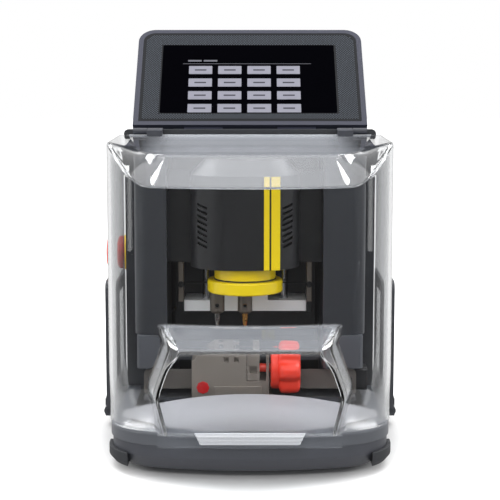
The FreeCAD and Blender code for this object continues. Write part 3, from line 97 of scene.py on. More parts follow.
class CasingSettings(PropertyGroup):
    """Base, columns and rear housing"""

    tub: colour("Tub", "Lower casing plastic", 74, 76, 83)
    rim: colour("Rim", "Upper rim of the base", 92, 95, 101)
    bumper: colour("Bumper", "Corner bumpers", 48, 50, 54)
    foot: colour("Foot", "Rubber feet", 28, 28, 29)
    cowl: colour("Cowl", "Sloped panel behind the cover's foot", 170, 170, 175)
    column: colour("Column", "Cheeks, housing and deck", 50, 52, 57)
    plinth: colour("Plinth", "Step below the cheeks", 84, 86, 92)
    handle: colour("Handle", "Fold-out carry handles", 66, 68, 74)
    pivot: colour("Pivot", "Pivot blocks of the handles", 58, 60, 65)
    edge_round: length("Edge round", "Bevel on moulded edges", 1.2)


class CoverSettings(PropertyGroup):
    """Clear lift-up cover"""

    half: length("Half width", "Middle to side wall", 125)
    front: length("Front", "Middle to front wall", 135)
    rear: length("Rear", "Rear edge behind the middle", 18)
    corner: length("Corner", "Plan corner radius", 45)
    bow: length("Bow", "Plan radius of the front wall", 320)
    foot: length("Foot", "Height of the bottom edge", 40.4)
    flare_top: length("Flare top", "Height where the flare starts", 78)
    flare_front: length("Flare front", "How far the foot runs forward", 27)
    flare_side: length("Flare side", "How far the foot runs out, less than nothing where it runs in", -3)
    flare_corner: length("Flare corner", "How much rounder the corners are at the foot", 5)
    brow: length("Brow", "Height of the brow line", 269)
    brow_front: length("Brow front", "Brow line ahead of the middle", 98)
    shoulder: length("Shoulder", "Height of the wall under the front bevel", 244.3)
    shoulder_soft: length("Shoulder softness", "Reach of the rounding along the side walls' top edges", 3)
    roof_rear: length("Roof rear", "Height of the roof at the back", 281)
    side_top: length("Side top", "Height of the side walls ahead of the hinge", 280.5)
    panel_rear: length("Panel rear", "Half width of the roof panel at the back", 114.5)
    panel_waist: length("Panel waist", "Half width of the roof panel where its corners start", 101)
    panel_waist_front: length("Panel waist front", "Start of the panel's corners ahead of the middle", 57)
    panel_corner: length("Panel corner", "Reach of the panel's corners across", 41)
    crease_turn: tilt("Crease turn", "Where the front bevel's ends meet the panel's corners", 50)
    crease_start: portion("Crease start", "Share of the front that faces the panel's straight edge", 0.7)
    bulge_root: length("Bulge root", "Height where the bulge leaves the wall", 126)
    bulge_brow: length("Bulge brow", "Height of the bulge's upper edge", 111)
    bulge_front: length("Bulge front", "Bulge face ahead of the middle at its foot", 168)
    bulge_lean: length("Bulge lean", "How far the face leans back at its upper edge", 3)
    bulge_top: length("Bulge top", "Half width at the root", 73.6)
    bulge_shoulder: length("Bulge shoulder", "Half width at the upper edge", 68)
    bulge_mid: length("Bulge middle", "Half width at its widest", 82)
    bulge_low: length("Bulge low", "Half width at the foot", 73.5)
    bulge_mid_height: length("Bulge middle height", "Height of its widest line", 72)
    bulge_draft: length("Bulge draft", "How far the bulge's sides lean out to the wall", 6.5)
    bulge_side: portion("Bulge side", "Share of the bulge's reach that its sides climb", 0.72)
    bulge_bevel: length("Bulge bevel", "Width of the bevels at the upper corners", 9)
    bulge_bevel_low: length("Bulge bevel low", "Width of the bevels further down", 3.15)
    bulge_bevel_reach: length("Bulge bevel reach", "How far the wide bevels run below the upper edge", 6)
    wall: length("Wall", "Wall thickness", 3)
    lip_half: length("Lip half width", "Half width of the finger lip at its top", 46)
    lip_back: length("Lip back", "Back of the finger lip ahead of the middle", 168.2)
    lip_front: length("Lip front", "Front of the finger lip ahead of the middle", 172)
    lip_low: length("Lip low", "Height of the finger lip's foot", 33.6)
    lip_ridge: length("Lip ridge", "Height of a ridge", 1.6)
    lip_taper: length("Lip taper", "How much each end draws in at the foot", 4.5)
    lip_ridges: IntProperty(name="Lip ridges", description="Ridges on the lip", default=3, min=1, max=6)
    # The rear bead is a painted highlight: frosted white where the cover's clear rear edge catches the light
    bead_wide: length("Bead width", "Width of the bead along the rear edge", 227)
    bead_tall: length("Bead height", "Height of the bead", 5)
    bead_middle: length("Bead middle", "Height of the bead's middle", 278.4)
    bead_deep: length("Bead depth", "Thickness of the bead", 1.6)
    bead_inset: length("Bead inset", "Back of the bead ahead of the rear edge", 0.1)
    apron_wide: length("Apron width", "Width of the apron behind the lip", 154)
    apron_tall: length("Apron height", "Height of the apron", 11.8)
    apron_deep: length("Apron depth", "Thickness of the apron", 2.2)
    apron_front: length("Apron front", "Back of the apron ahead of the middle", 165.5)
    apron_middle: length("Apron middle", "Height of the apron's middle", 36.1)
    strip_round: length("Strip round", "Corner radius of the bead and the apron", 1.2)
    tint: colour("Tint", "Clear plastic", 251, 252, 253)
    # Painted sheen: a milky diffuse on the roof and the bulge's top that stands in for their reflections
    painted_sheen: portion("Haze", "Milky share of the roof and bulge", 0.26)
    sheen_paint: colour("Milk", "Tone of the haze", 224, 228, 236)
    # Frost is the lip's own colour, and a painted highlight on the rear bead
    frost: colour("Frost", "Finger lip and rear bead", 214, 216, 221)
    hinge: colour("Hinge", "Hinge leaves and brackets", 66, 68, 76)


class HeadSettings(PropertyGroup):
    """Spindle head, hood and vertical axis"""

    hood: colour("Hood", "Moulded hood", 19, 19, 22)
    # Painted shade: the dark ring stands in for the shade in the gap between the drum and the ring
    stripe: colour("Stripe", "Painted stripes and ring", 255, 222, 0)
    groove: colour("Groove", "Dark groove round the ring", 30, 28, 20)
    chuck: colour("Chuck", "Chucks and straps", 118, 110, 102)
    probe: colour("Probe", "Probe tip", 150, 148, 145)
    gold: colour("Cutter", "Coated cutter", 190, 140, 78)
    land: colour("Land", "Spiral lands of the cutter", 150, 100, 48)
    bar: colour("Bar", "White cross bar", 252, 253, 255)
    black: colour("Black", "Blackened feet and screws", 26, 26, 28)
    cast: colour("Casting", "Painted castings", 40, 41, 44)
    plate: colour("Plate", "Alloy top plate", 150, 152, 156)
    rod: colour("Rod", "Ground guide rods", 190, 191, 195)
    thread: colour("Thread", "Rolled lead screws", 140, 140, 143)
    motor: colour("Motor", "Motor cans", 40, 40, 43)
    hood_bow: length("Hood bow", "Plan radius of the hood's front", 130)
    stripe_left: length("Stripe left", "Left edge of the narrow stripe", 12.2)
    stripe_thin: length("Thin stripe", "Width of the narrow stripe", 4.8)
    stripe_gap: length("Stripe gap", "Gap between the stripes", 1.6)
    stripe_wide: length("Wide stripe", "Width of the wide stripe", 7.8)
    stripe_low: length("Stripe low", "Height of the stripes' lower end", 166.8)
    stripe_high: length("Stripe high", "Height of the stripes' upper end", 247.8)
    stripe_lift: length("Stripe lift", "Thickness of the paint over the hood", 0.25)
    stripe_sink: length("Stripe sink", "Depth of the paint in the hood", 0.2)
    groove_in: length("Groove inside", "Inner radius of the ring's groove", 26.2)
    groove_out: length("Groove outside", "Outer radius of the ring's groove", 28.1)
    groove_low: length("Groove low", "Height of the groove's lower edge", 154.9)
    groove_high: length("Groove high", "Height of the groove's upper edge", 156.2)
    grub_height: length("Grub height", "Height of the chucks' grub screws", 131)
    grub_radius: length("Grub radius", "Radius of a grub screw", 1.6)
    grub_deep: length("Grub depth", "Length of a grub screw", 0.6)
    land_top: length("Land top", "Height where the cutter's lands start", 121.5)
    land_fall: length("Land fall", "Height that the lands cover", 8.5)
    land_radius: length("Land radius", "Radius of the lands at their top", 2.7)
    land_taper: length("Land taper", "How much the lands draw in", 1.1)
    land_turn: tilt("Land turn", "Turn of a land over its length", 432)


class ClampSettings(PropertyGroup):
    """Cross slide, clamp and knob"""

    steel: colour("Steel", "Clamp metal", 146, 138, 130)
    sheet: colour("Sheet", "Guard metal", 118, 113, 108)
    alloy: colour("Alloy", "Bed and slides", 140, 142, 147)
    red: colour("Knob", "Knob and stop button", 250, 62, 40)
    badge: colour("Badge", "Plain badge", 200, 22, 27)
    screw: colour("Screw", "Bright screw heads", 186, 186, 188)
    # Painted shade: dark discs stand in for the shade in the screws' hex sockets
    socket: colour("Socket", "Dark screw sockets", 22, 22, 23)
    knob_radius: length("Knob radius", "Outer radius over the lobes", 23.4)
    knob_dip: length("Knob dip", "Depth of the hollows between lobes", 4.8)
    lobes: IntProperty(name="Lobes", description="Lobes round the knob", default=6, min=3, max=12)
    guard_screw_x: length("Guard screw X", "Guard screws from the middle", 91.7)
    guard_screw_low: length("Guard screw low", "Height of the lower guard screws", 52.5)
    guard_screw_high: length("Guard screw high", "Height of the upper guard screws", 60.5)
    top_screw_left: length("Top screw left", "Left clamp screws from the middle", -26)
    top_screw_right: length("Top screw right", "Right clamp screws from the middle", -12)
    top_screw_front: length("Top screw front", "Front clamp screws ahead of the middle", 68)
    top_screw_back: length("Top screw back", "Back clamp screws ahead of the middle", 50)


class ScreenSettings(PropertyGroup):
    """Tilting screen, with heights measured up its leaning face from the hinge"""

    case: colour("Case", "Screen case", 60, 62, 76)
    bezel: colour("Bezel", "Front panel", 24, 26, 30)
    dots: colour("Dots", "Perforations in the panel", 84, 90, 99)
    glass: colour("Glass", "Dark display", 5, 5, 8)
    post: colour("Post", "Hinge posts", 58, 60, 68)
    keys: colour("Keys", "Drawn keys", 148, 148, 160)
    marks: colour("Marks", "Bars on the keys", 70, 70, 78)
    line: colour("Line", "Rule and title bars", 110, 110, 118)
    lean: tilt("Lean", "Lean from upright", 47)
    face: length("Face", "Panel face ahead of the hinge", 6)
    board_wide: length("Board width", "Width of the front panel", 213.8)
    board_tall: length("Board height", "Height of the front panel", 124.6)
    board_middle: length("Board middle", "Middle of the front panel", 73)
    board_round: length("Board round", "Corner radius of the front panel", 9)
    board_deep: length("Board depth", "Thickness of the front panel", 2.95)
    board_sink: length("Board sink", "Back of the panel behind its face", 3)
    foot_tall: length("Board foot height", "Height of the panel's square foot", 22)
    foot_middle: length("Board foot middle", "Middle of the panel's square foot", 21.7)
    foot_round: length("Board foot round", "Corner radius of the panel's foot", 1)
    foot_deep: length("Board foot depth", "Thickness of the panel's foot", 2.9)
    display_wide: length("Display width", "Width of the dark display", 171)
    display_tall: length("Display height", "Height of the dark display", 96)
    display_x: length("Display X", "Middle of the display across", -1.5)
    display_middle: length("Display middle", "Middle of the display", 69.5)
    display_round: length("Display round", "Corner radius of the display", 1.5)
    film: length("Film", "Thickness of the display and what is drawn on it", 0.1)
    key_wide: length("Key width", "Width of a key", 23)
    key_tall: length("Key height", "Height of a key", 11.4)
    key_step_x: length("Key step X", "Column spacing", 28.85)
    key_step_z: length("Key step Z", "Row spacing", 17.8)
    key_x: length("Keys X", "Middle of the keys across", -5.5)
    key_middle: length("Keys middle", "Middle of the keys", 54.5)
    key_round: length("Key round", "Corner radius of a key", 0.6)
    key_rise: length("Key rise", "Thickness of a key", 0.12)
    mark_wide: length("Mark width", "Width of the bar on a key", 11.5)
    mark_tall: length("Mark height", "Height of the bar on a key", 1.8)
    mark_rise: length("Mark rise", "Thickness of the bar on a key", 0.06)
    bar_round: length("Bar round", "Corner radius of the bars", 0.4)
    rule_wide: length("Rule width", "Width of the rule over the keys", 127)
    rule_tall: length("Rule height", "Height of the rule", 0.5)
    rule_x: length("Rule X", "Middle of the rule across", -3)
    rule_middle: length("Rule middle", "Middle of the rule", 90.2)
    title_wide: length("Title width", "Width of a title bar", 13.5)
    title_tall: length("Title height", "Height of a title bar", 2.2)
    title_step: length("Title step", "Spacing of the two title bars", 15.5)
    title_x: length("Title X", "Middle of the title bars across", -47)
    title_middle: length("Title middle", "Middle of the title bars", 94.5)
    dot_step: length("Dot step", "Spacing of the perforations", 2.6)
    dot_radius: length("Dot radius", "Radius of a perforation", 0.62)
    dot_deep: length("Dot depth", "Thickness of a perforation's disc", 0.16)
    dot_sink: length("Dot sink", "Middle of the discs behind the panel's face", 0.02)
    dot_half: length("Dot field half", "Half width of the perforated field", 104.5)
    dot_low: length("Dot field low", "Lower edge of the perforated field", 14.5)
    dot_high: length("Dot field high", "Upper edge of the perforated field", 132.5)
    dot_round: length("Dot field round", "Corner radius of the perforated field", 12)
    window_half: length("Window half", "Half width left free round the display", 87.2)
    window_low: length("Window low", "Lower edge of the free window", 20.5)
    window_high: length("Window high", "Upper edge of the free window", 118.4)


class ControlSettings(PropertyGroup):
    """Rear panel, inlet, switch and stop button"""

    panel: colour("Panel", "Painted rear panel", 62, 63, 67)
    plastic: colour("Plastic", "Inlet and switch", 26, 26, 28)
    collar: colour("Collar", "Collar of the stop button", 250, 205, 20)
    screw: colour("Screw", "Panel screws", 120, 121, 124)
    # Painted shade: dark discs stand in for the shade in the screws' hex sockets
    socket: colour("Socket", "Dark screw sockets", 18, 18, 19)
    mark: colour("Mark", "Bar on the rocker", 225, 225, 225)
    screw_x: length("Screw X", "Outer panel screws from the middle", 102)
    screw_low: length("Screw low", "Height of the lowest panel screws", 54)
    screw_middle: length("Screw middle", "Height of the middle panel screws", 153)
    screw_high: length("Screw high", "Height of the highest panel screws", 252)
    screw_out: length("Screw out", "Middle of the panel screws behind the panel", 0.3)
    inlet_screw_x: length("Inlet screw X", "Inlet screws from the inlet's middle", 20)
    inlet_screw_sink: length("Inlet screw sink", "Middle of the inlet screws under its face", 0.5)
    mark_wide: length("Mark width", "Width of the rocker's bar", 1.2)
    mark_tall: length("Mark height", "Height of the rocker's bar", 4.6)
    mark_height: length("Mark place", "Height of the bar's middle", 83.5)
    mark_sink: length("Mark sink", "Bar's base under the rocker's highest point", 0.65)
    mark_round: length("Mark round", "Corner radius of the bar", 0.3)
    mark_rise: length("Mark rise", "Thickness of the bar", 0.2)
    rocker_lean: tilt("Rocker lean", "Lean of the rocker's upper half", 5.4374)


class StageSettings(PropertyGroup):
    """Floor, lamps and camera"""

    lens: FloatProperty(name="Lens", description="Focal length in millimetres", default=100, unit="CAMERA")
    sensor: FloatProperty(name="Sensor", description="Sensor width in millimetres", default=36, unit="CAMERA")
    distance: length("Distance", "Camera to aim point", 1300)
    aim: length("Aim height", "Height the camera looks at", 174)
    elevation: tilt("Elevation", "Camera height angle", 7.5)
    top_power: watts("Top lamp", "Power of the overhead lamp", 6.5)
    rim_power: watts("Rim lamps", "Power of each lamp at the back", 6)
    glint_power: watts("Glint lamps", "Power of each small lamp overhead", 1.4)
    strip_power: watts("Strip lamps", "Power of each side lamp", 4)
    front_power: watts("Front lamp", "Power of the front lamp", 6)
    ambient: portion("Ambient", "Strength of the sky on the machine", 0.48)
    floor_half: length("Floor half", "Half width of the floor", 8000)
    floor_tone: portion("Floor tone", "Grey of the floor under the shadow", 0.8)
    shadow_near: length("Shadow near", "Reach of the full shadow from front to back", 168)
    shadow_far: length("Shadow far", "Reach of the shadow's last trace", 255)


# Materials
PATCH_SCALE = 30
NOISE_RANGE = (0.3, 0.7)
GLOSS_SPREAD = 0.06
GRAIN_HEIGHT = 0.08 * MM
COAT_ROUGHNESS = 0.12
MOULDED = {"grain": 3200, "depth": 0.06}
TRIMMED = {"grain": 3000, "depth": 0.05}
PRINTED = {"grain": 1500, "depth": 0.03}
POLISHED = {"grain": 900, "depth": 0.1}


def new_surface(name):
    material = bpy.data.materials.new(name)
    material.use_nodes = True
    nodes = material.node_tree.nodes
    return material, nodes, material.node_tree.links, nodes["Principled BSDF"]


def noise_at(nodes, links, scale, stretch=(1, 1, 1)):
    """Noise on Object coordinates, stretched for brushed or turned metal."""
    coordinates = nodes.new("ShaderNodeTexCoord")
    mapping = nodes.new("ShaderNodeMapping")
    mapping.inputs["Scale"].default_value = stretch
    noise = nodes.new("ShaderNodeTexNoise")
    noise.inputs["Scale"].default_value = scale
    noise.inputs["Detail"].default_value = 3
    links.new(coordinates.outputs["Object"], mapping.inputs["Vector"])
    links.new(mapping.outputs["Vector"], noise.inputs["Vector"])
    return noise.outputs["Fac"]


def ramp(nodes, links, value, start, end, low, high, kind="SMOOTHSTEP"):
    """Value that runs from low to high while another runs from start to end."""
    span = nodes.new("ShaderNodeMapRange")
    span.interpolation_type = kind
    span.inputs["From Min"].default_value = start
    span.inputs["From Max"].default_value = end
    span.inputs["To Min"].default_value = low
    span.inputs["To Max"].default_value = high
    links.new(value, span.inputs["Value"])
    return span.outputs["Result"]


def combine(nodes, links, operation, first, second):
    """Math node on two values."""
    node = nodes.new("ShaderNodeMath")
    node.operation = operation
    links.new(first, node.inputs[0])
    links.new(second, node.inputs[1])
    return node.outputs[0]


def mix_shaders(nodes, links, factor, first, second):
    mix = nodes.new("ShaderNodeMixShader")
    links.new(factor, mix.inputs["Fac"])
    links.new(first, mix.inputs[1])
    links.new(second, mix.inputs[2])
    return mix.outputs["Shader"]


def vary_colour(nodes, links, factor, tone, spread):
    """Colour that drifts a little to each side of its tone."""
    mix = nodes.new("ShaderNodeMix")
    mix.data_type = "RGBA"
    mix.inputs["A"].default_value = (*[max(0, c * (1 - spread)) for c in tone], 1)
    mix.inputs["B"].default_value = (*[min(1, c * (1 + spread)) for c in tone], 1)
    links.new(factor, mix.inputs["Factor"])
    return mix.outputs["Result"]


def vary_value(nodes, links, factor, low, high):
    return ramp(nodes, links, factor, *NOISE_RANGE, low, high, "LINEAR")


def grain_bump(nodes, links, factor, strength):
    bump = nodes.new("ShaderNodeBump")
    bump.inputs["Strength"].default_value = strength
    bump.inputs["Distance"].default_value = GRAIN_HEIGHT
    links.new(factor, bump.inputs["Height"])
    return bump.outputs["Normal"]


def ramp_along(nodes, links, axis, start, end, low, high):
    """Value that runs smoothly between two distances from the middle along one axis."""
    place = nodes.new("ShaderNodeTexCoord")
    split = nodes.new("ShaderNodeSeparateXYZ")
    away = nodes.new("ShaderNodeMath")
    away.operation = "ABSOLUTE"
    links.new(place.outputs["Object"], split.inputs["Vector"])
    links.new(split.outputs[axis], away.inputs[0])
    return ramp(nodes, links, away.outputs[0], start, end, low, high)


def paint_shade_along(nodes, links, base, axis, start, end, low):
    """Painted shade: darken a colour between two distances from the middle along one axis."""
    shade = nodes.new("ShaderNodeMix")
    shade.data_type = "RGBA"
    shade.blend_type = "MULTIPLY"
    shade.inputs["Factor"].default_value = 1
    links.new(base, shade.inputs["A"])
    links.new(ramp_along(nodes, links, axis, start, end, 1.0, low), shade.inputs["B"])
    return shade.outputs["Result"]


def finish(name, tone, rough, grain=3000, depth=0.05, mottle=0.05, stretch=(1, 1, 1), metal=0.0, coat=0.0,
           specular=0.5, painted_shades=()):
    """Moulded, painted or metal surface with grain, uneven gloss, a slight drift of colour and any painted
    shade along an axis.
    """
    material, nodes, links, shader = new_surface(name)
    cloud = noise_at(nodes, links, PATCH_SCALE)
    fine = noise_at(nodes, links, grain, stretch)
    base = vary_colour(nodes, links, cloud, tone, mottle)
    # Each painted shade darkens the colour along one axis
    for painted_shade in painted_shades:
        base = paint_shade_along(nodes, links, base, *painted_shade)
    gloss = vary_value(nodes, links, fine, rough - GLOSS_SPREAD, rough + GLOSS_SPREAD)
    links.new(base, shader.inputs["Base Color"])
    links.new(gloss, shader.inputs["Roughness"])
    links.new(grain_bump(nodes, links, fine, depth), shader.inputs["Normal"])
    shader.inputs["Metallic"].default_value = metal
    shader.inputs["Coat Weight"].default_value = coat
    shader.inputs["Coat Roughness"].default_value = COAT_ROUGHNESS
    shader.inputs["Specular IOR Level"].default_value = specular
    return material


# Clear plastic: its foot is frosted, and its painted sheen, a milky diffuse on the roof and the bulge's top
# that stands in for their reflections, thins out towards the sides
CLEAR_IOR = 1.46
CLEAR_PATCH_SCALE = 40
CLEAR_ROUGHNESS = (0.0, 0.03)
CLEAR_SHADOW = (0.94, 0.95, 0.96, 1)
FROST_HEIGHTS = (46 * MM, 75 * MM)
FROST_ROUGHNESS = 0.2
PAINTED_SHEEN_WIDTHS = (65 * MM, 105 * MM)


def clear_plastic(name, tone, painted_sheen_tone, painted_sheen):
    """Clear moulding that lamps reach through, with a share of milky diffuse as painted sheen that stands in
    for reflections.
    """
    material, nodes, links, shader = new_surface(name)
    shader.inputs["Base Color"].default_value = (*tone, 1)
    shader.inputs["Transmission Weight"].default_value = 1
    shader.inputs["IOR"].default_value = CLEAR_IOR
    cloud = vary_value(nodes, links, noise_at(nodes, links, CLEAR_PATCH_SCALE), *CLEAR_ROUGHNESS)
    frost = ramp_along(nodes, links, "Z", *FROST_HEIGHTS, FROST_ROUGHNESS, 0.0)
    links.new(combine(nodes, links, "ADD", cloud, frost), shader.inputs["Roughness"])
    # Milky diffuse that paints the sheen of reflections
    sheen_paint = nodes.new("ShaderNodeBsdfDiffuse")
    sheen_paint.inputs["Color"].default_value = (*painted_sheen_tone, 1)
    painted_sheen_amount = ramp_along(nodes, links, "X", *PAINTED_SHEEN_WIDTHS, painted_sheen, 0.0)
    body = mix_shaders(nodes, links, painted_sheen_amount, shader.outputs["BSDF"], sheen_paint.outputs["BSDF"])
    path = nodes.new("ShaderNodeLightPath")
    through = nodes.new("ShaderNodeBsdfTransparent")
    through.inputs["Color"].default_value = CLEAR_SHADOW
    surface = mix_shaders(nodes, links, path.outputs["Is Shadow Ray"], body, through.outputs["BSDF"])
    links.new(surface, nodes["Material Output"].inputs["Surface"])
    return material


# Meshes
MERGE_SOLID = 2e-6
MERGE_SKIN = 1e-7


def place_piece(name, mesh, material, body, replaced=()):
    """Link a finished mesh, ride it on its body and hide the solids it stands for."""
    piece = loose_object(name, mesh)
    mesh.materials.clear()
    mesh.materials.append(material)
    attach(piece, body)
    if replaced:
        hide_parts(*replaced)
    return piece


def evaluated_mesh(piece):
    """Plain mesh of an object with its modifiers applied, and the object removed."""
    graph = bpy.context.evaluated_depsgraph_get()
    mesh = bpy.data.meshes.new_from_object(piece.evaluated_get(graph), depsgraph=graph)
    source = piece.data
    bpy.data.objects.remove(piece)
    if source.users == 0:
        bpy.data.meshes.remove(source)
    return mesh


def loose_object(name, mesh):
    piece = bpy.data.objects.new(name, mesh)
    bpy.context.scene.collection.objects.link(piece)
    return piece


def smooth_by_angle(mesh, degrees=35):
    mesh.shade_smooth()
    mesh.set_sharp_from_angle(angle=math.radians(degrees))


def dress(node, material, bevel=0.6 * MM, segments=2, angle=32):
    """Copy a solid with softened edges and put it in the solid's place."""
    mesh = frame["nodes"][node].data.copy()
    mesh.materials.clear()
    work = bmesh.new()
    work.from_mesh(mesh)
    bmesh.ops.remove_doubles(work, verts=work.verts, dist=MERGE_SOLID)
    bmesh.ops.join_triangles(work, faces=work.faces, angle_face_threshold=math.radians(1),
                             angle_shape_threshold=math.pi)
    work.to_mesh(mesh)
    work.free()
    smooth_by_angle(mesh)
    piece = loose_object(node + "_form", mesh)
    edges = piece.modifiers.new("Edges", "BEVEL")
    edges.width = bevel
    edges.segments = segments
    edges.limit_method = "ANGLE"
    edges.angle_limit = math.radians(angle)
    edges.use_clamp_overlap = True
    flat = piece.modifiers.new("Flat faces", "WEIGHTED_NORMAL")
    flat.keep_sharp = True
    result = evaluated_mesh(piece)
    return place_piece(node + "_dressed", result, material, BODY_OF[node], [node])


def paint(node, material):
    """Give a solid that is right as it stands a better finish."""
    for place in frame["nodes"][node].material_slots:
        place.material = material


def mesh_from(name, points, faces):
    """Mesh with its doubles merged and its faces turned outwards."""
    mesh = bpy.data.meshes.new(name)
    mesh.from_pydata([tuple(p) for p in points], [], faces)
    work = bmesh.new()
    work.from_mesh(mesh)
    bmesh.ops.remove_doubles(work, verts=work.verts, dist=MERGE_SKIN)
    bmesh.ops.recalc_face_normals(work, faces=work.faces)
    work.to_mesh(mesh)
    work.free()
    return mesh


def grid_faces(rows, columns, closed=False):
    """Faces between rows of points, joined into rings where closed."""
    faces = []
    for row in range(rows - 1):
        for column in range(columns if closed else columns - 1):
            after = (column + 1) % columns
            faces.append((row * columns + column, row * columns + after,
                          (row + 1) * columns + after, (row + 1) * columns + column))
    return faces


def lathe(name, profile, centre, segments=64):
    """Turned form from radius and height pairs about an upright axis through a point."""
    points = []
    for radius, height in profile:
        for step in range(segments):
            angle = 2 * math.pi * step / segments
            points.append((centre.x + radius * math.cos(angle), centre.y + radius * math.sin(angle), height))
    mesh = mesh_from(name, points, grid_faces(len(profile), segments, True))
    smooth_by_angle(mesh)
    return mesh


# Geometry Nodes
def new_tree(name, sockets):
    """Geometry tree with a geometry in and out and one named input for each size."""
    tree = bpy.data.node_groups.new(name, "GeometryNodeTree")
    tree.interface.new_socket("Geometry", in_out="INPUT", socket_type="NodeSocketGeometry")
    for label, kind in sockets:
        tree.interface.new_socket(label, in_out="INPUT", socket_type="NodeSocket" + kind)
    tree.interface.new_socket("Geometry", in_out="OUTPUT", socket_type="NodeSocketGeometry")
    return tree, tree.nodes.new("NodeGroupInput"), tree.nodes.new("NodeGroupOutput")


def end_tree(tree, source, sink, geometry):
    """Close a tree with Realize Instances and Set Material."""
    realize = tree.nodes.new("GeometryNodeRealizeInstances")
    coat = tree.nodes.new("GeometryNodeSetMaterial")
    tree.links.new(geometry, realize.inputs["Geometry"])
    tree.links.new(realize.outputs["Geometry"], coat.inputs["Geometry"])
    tree.links.new(source.outputs["Material"], coat.inputs["Material"])
    tree.links.new(coat.outputs["Geometry"], sink.inputs["Geometry"])


def grown(name, tree, points, values):
    """Run a tree on points with named values and return the plain mesh that it makes."""
    seed = bpy.data.meshes.new(name + "_points")
    seed.from_pydata([tuple(p) for p in points], [], [])
    piece = loose_object(name, seed)
    modifier = piece.modifiers.new("Grow", "NODES")
    modifier.node_group = tree
    for item in tree.interface.items_tree:
        if item.in_out == "INPUT" and item.name in values:
            modifier[item.identifier] = values[item.name]
    return evaluated_mesh(piece)


def stud_tree():
    """A short many-sided stud on every point, turned from upright."""
    tree, source, sink = new_tree("Studs", [("Radius", "Float"), ("Height", "Float"), ("Sides", "Int"),
                                            ("Turn", "Rotation"), ("Material", "Material")])
    nodes, links = tree.nodes, tree.links
    stud = nodes.new("GeometryNodeMeshCylinder")
    spread = nodes.new("GeometryNodeInstanceOnPoints")
    links.new(source.outputs["Radius"], stud.inputs["Radius"])
    links.new(source.outputs["Height"], stud.inputs["Depth"])
    links.new(source.outputs["Sides"], stud.inputs["Vertices"])
    links.new(source.outputs["Geometry"], spread.inputs["Points"])
    links.new(stud.outputs["Mesh"], spread.inputs["Instance"])
    links.new(source.outputs["Turn"], spread.inputs["Rotation"])
    end_tree(tree, source, sink, spread.outputs["Instances"])
    return tree


def pad_tree():
    """Rounded pads in rows and columns on the XY plane, centred on the origin."""
    tree, source, sink = new_tree("Pads", [
        ("Columns", "Int"), ("Rows", "Int"), ("Step X", "Float"), ("Step Y", "Float"), ("Width", "Float"),
        ("Height", "Float"), ("Round", "Float"), ("Rise", "Float"), ("Material", "Material")])
    nodes, links = tree.nodes, tree.links
    grid = nodes.new("GeometryNodeMeshGrid")
    for count, step, size in (("Columns", "Step X", "Size X"), ("Rows", "Step Y", "Size Y")):
        gaps = nodes.new("ShaderNodeMath")
        gaps.operation = "SUBTRACT"
        gaps.inputs[1].default_value = 1
        links.new(source.outputs[count], gaps.inputs[0])
        reach = combine(nodes, links, "MULTIPLY", gaps.outputs[0], source.outputs[step])
        links.new(reach, grid.inputs[size])
    links.new(source.outputs["Columns"], grid.inputs["Vertices X"])
    links.new(source.outputs["Rows"], grid.inputs["Vertices Y"])
    outline = nodes.new("GeometryNodeCurvePrimitiveQuadrilateral")
    links.new(source.outputs["Width"], outline.inputs["Width"])
    links.new(source.outputs["Height"], outline.inputs["Height"])
    fillet = nodes.new("GeometryNodeFilletCurve")
    fillet.mode = "POLY"
    fillet.inputs["Count"].default_value = 4
    links.new(outline.outputs["Curve"], fillet.inputs["Curve"])
    links.new(source.outputs["Round"], fillet.inputs["Radius"])
    fill = nodes.new("GeometryNodeFillCurve")
    fill.mode = "NGONS"
    links.new(fillet.outputs["Curve"], fill.inputs["Curve"])
    extrude = nodes.new("GeometryNodeExtrudeMesh")
    links.new(fill.outputs["Mesh"], extrude.inputs["Mesh"])
    links.new(source.outputs["Rise"], extrude.inputs["Offset Scale"])
    spread = nodes.new("GeometryNodeInstanceOnPoints")
    links.new(grid.outputs["Mesh"], spread.inputs["Points"])
    links.new(extrude.outputs["Mesh"], spread.inputs["Instance"])
    end_tree(tree, source, sink, spread.outputs["Instances"])
    return tree


UPRIGHT = (0, 0, 0)
ALONG_Y = (math.pi / 2, 0, 0)


def stud_mesh(name, points, radius, height, sides, turn, material):
    """One mesh of like studs on a list of points."""
    tree = bpy.data.node_groups.get("Studs") or stud_tree()
    return grown(name, tree, points, {"Radius": radius, "Height": height, "Sides": sides, "Turn": turn,
                                      "Material": material})


def studs(name, points, radius, height, sides, turn, material, body):
    """One piece of like studs on a list of points."""
    mesh = stud_mesh(name, points, radius, height, sides, turn, material)
    smooth_by_angle(mesh, 40)
    return place_piece(name, mesh, material, body)


Screw = namedtuple("Screw", "radius height sides socket_radius socket_height socket_shift")


def socket_screws(name, points, screw, turn, metals, body):
    """Round screw heads, and in each a dark six-sided disc, painted shade for its socket."""
    bright, dark = metals
    studs(name + "_screws", points, screw.radius, screw.height, screw.sides, turn, bright, body)
    sunk = [Vector(point) + Vector(screw.socket_shift) for point in points]
    studs(name + "_sockets", sunk, screw.socket_radius, screw.socket_height, 6, turn, dark, body)


def pads(name, size, rounding, rise, place, material, body, slot, grid=(1, 1), step=(0, 0)):
    """One piece of like pads in a grid, laid by a matrix."""
    tree = bpy.data.node_groups.get("Pads") or pad_tree()
    mesh = grown(name, tree, [(0, 0, 0)], {
        "Columns": grid[0], "Rows": grid[1], "Step X": step[0], "Step Y": step[1], "Width": size[0],
        "Height": size[1], "Round": rounding, "Rise": rise, "Material": material})
    mesh.transform(place)
    return place_piece(name, mesh, material, body)


# Casing: painted shade on the cowl; each entry is an axis, two distances from the middle and the share of
# light left past them
COWL_PAINTED_SHADE = (("Y", 115 * MM, 160 * MM, 0.45), ("X", 60 * MM, 115 * MM, 0.6))


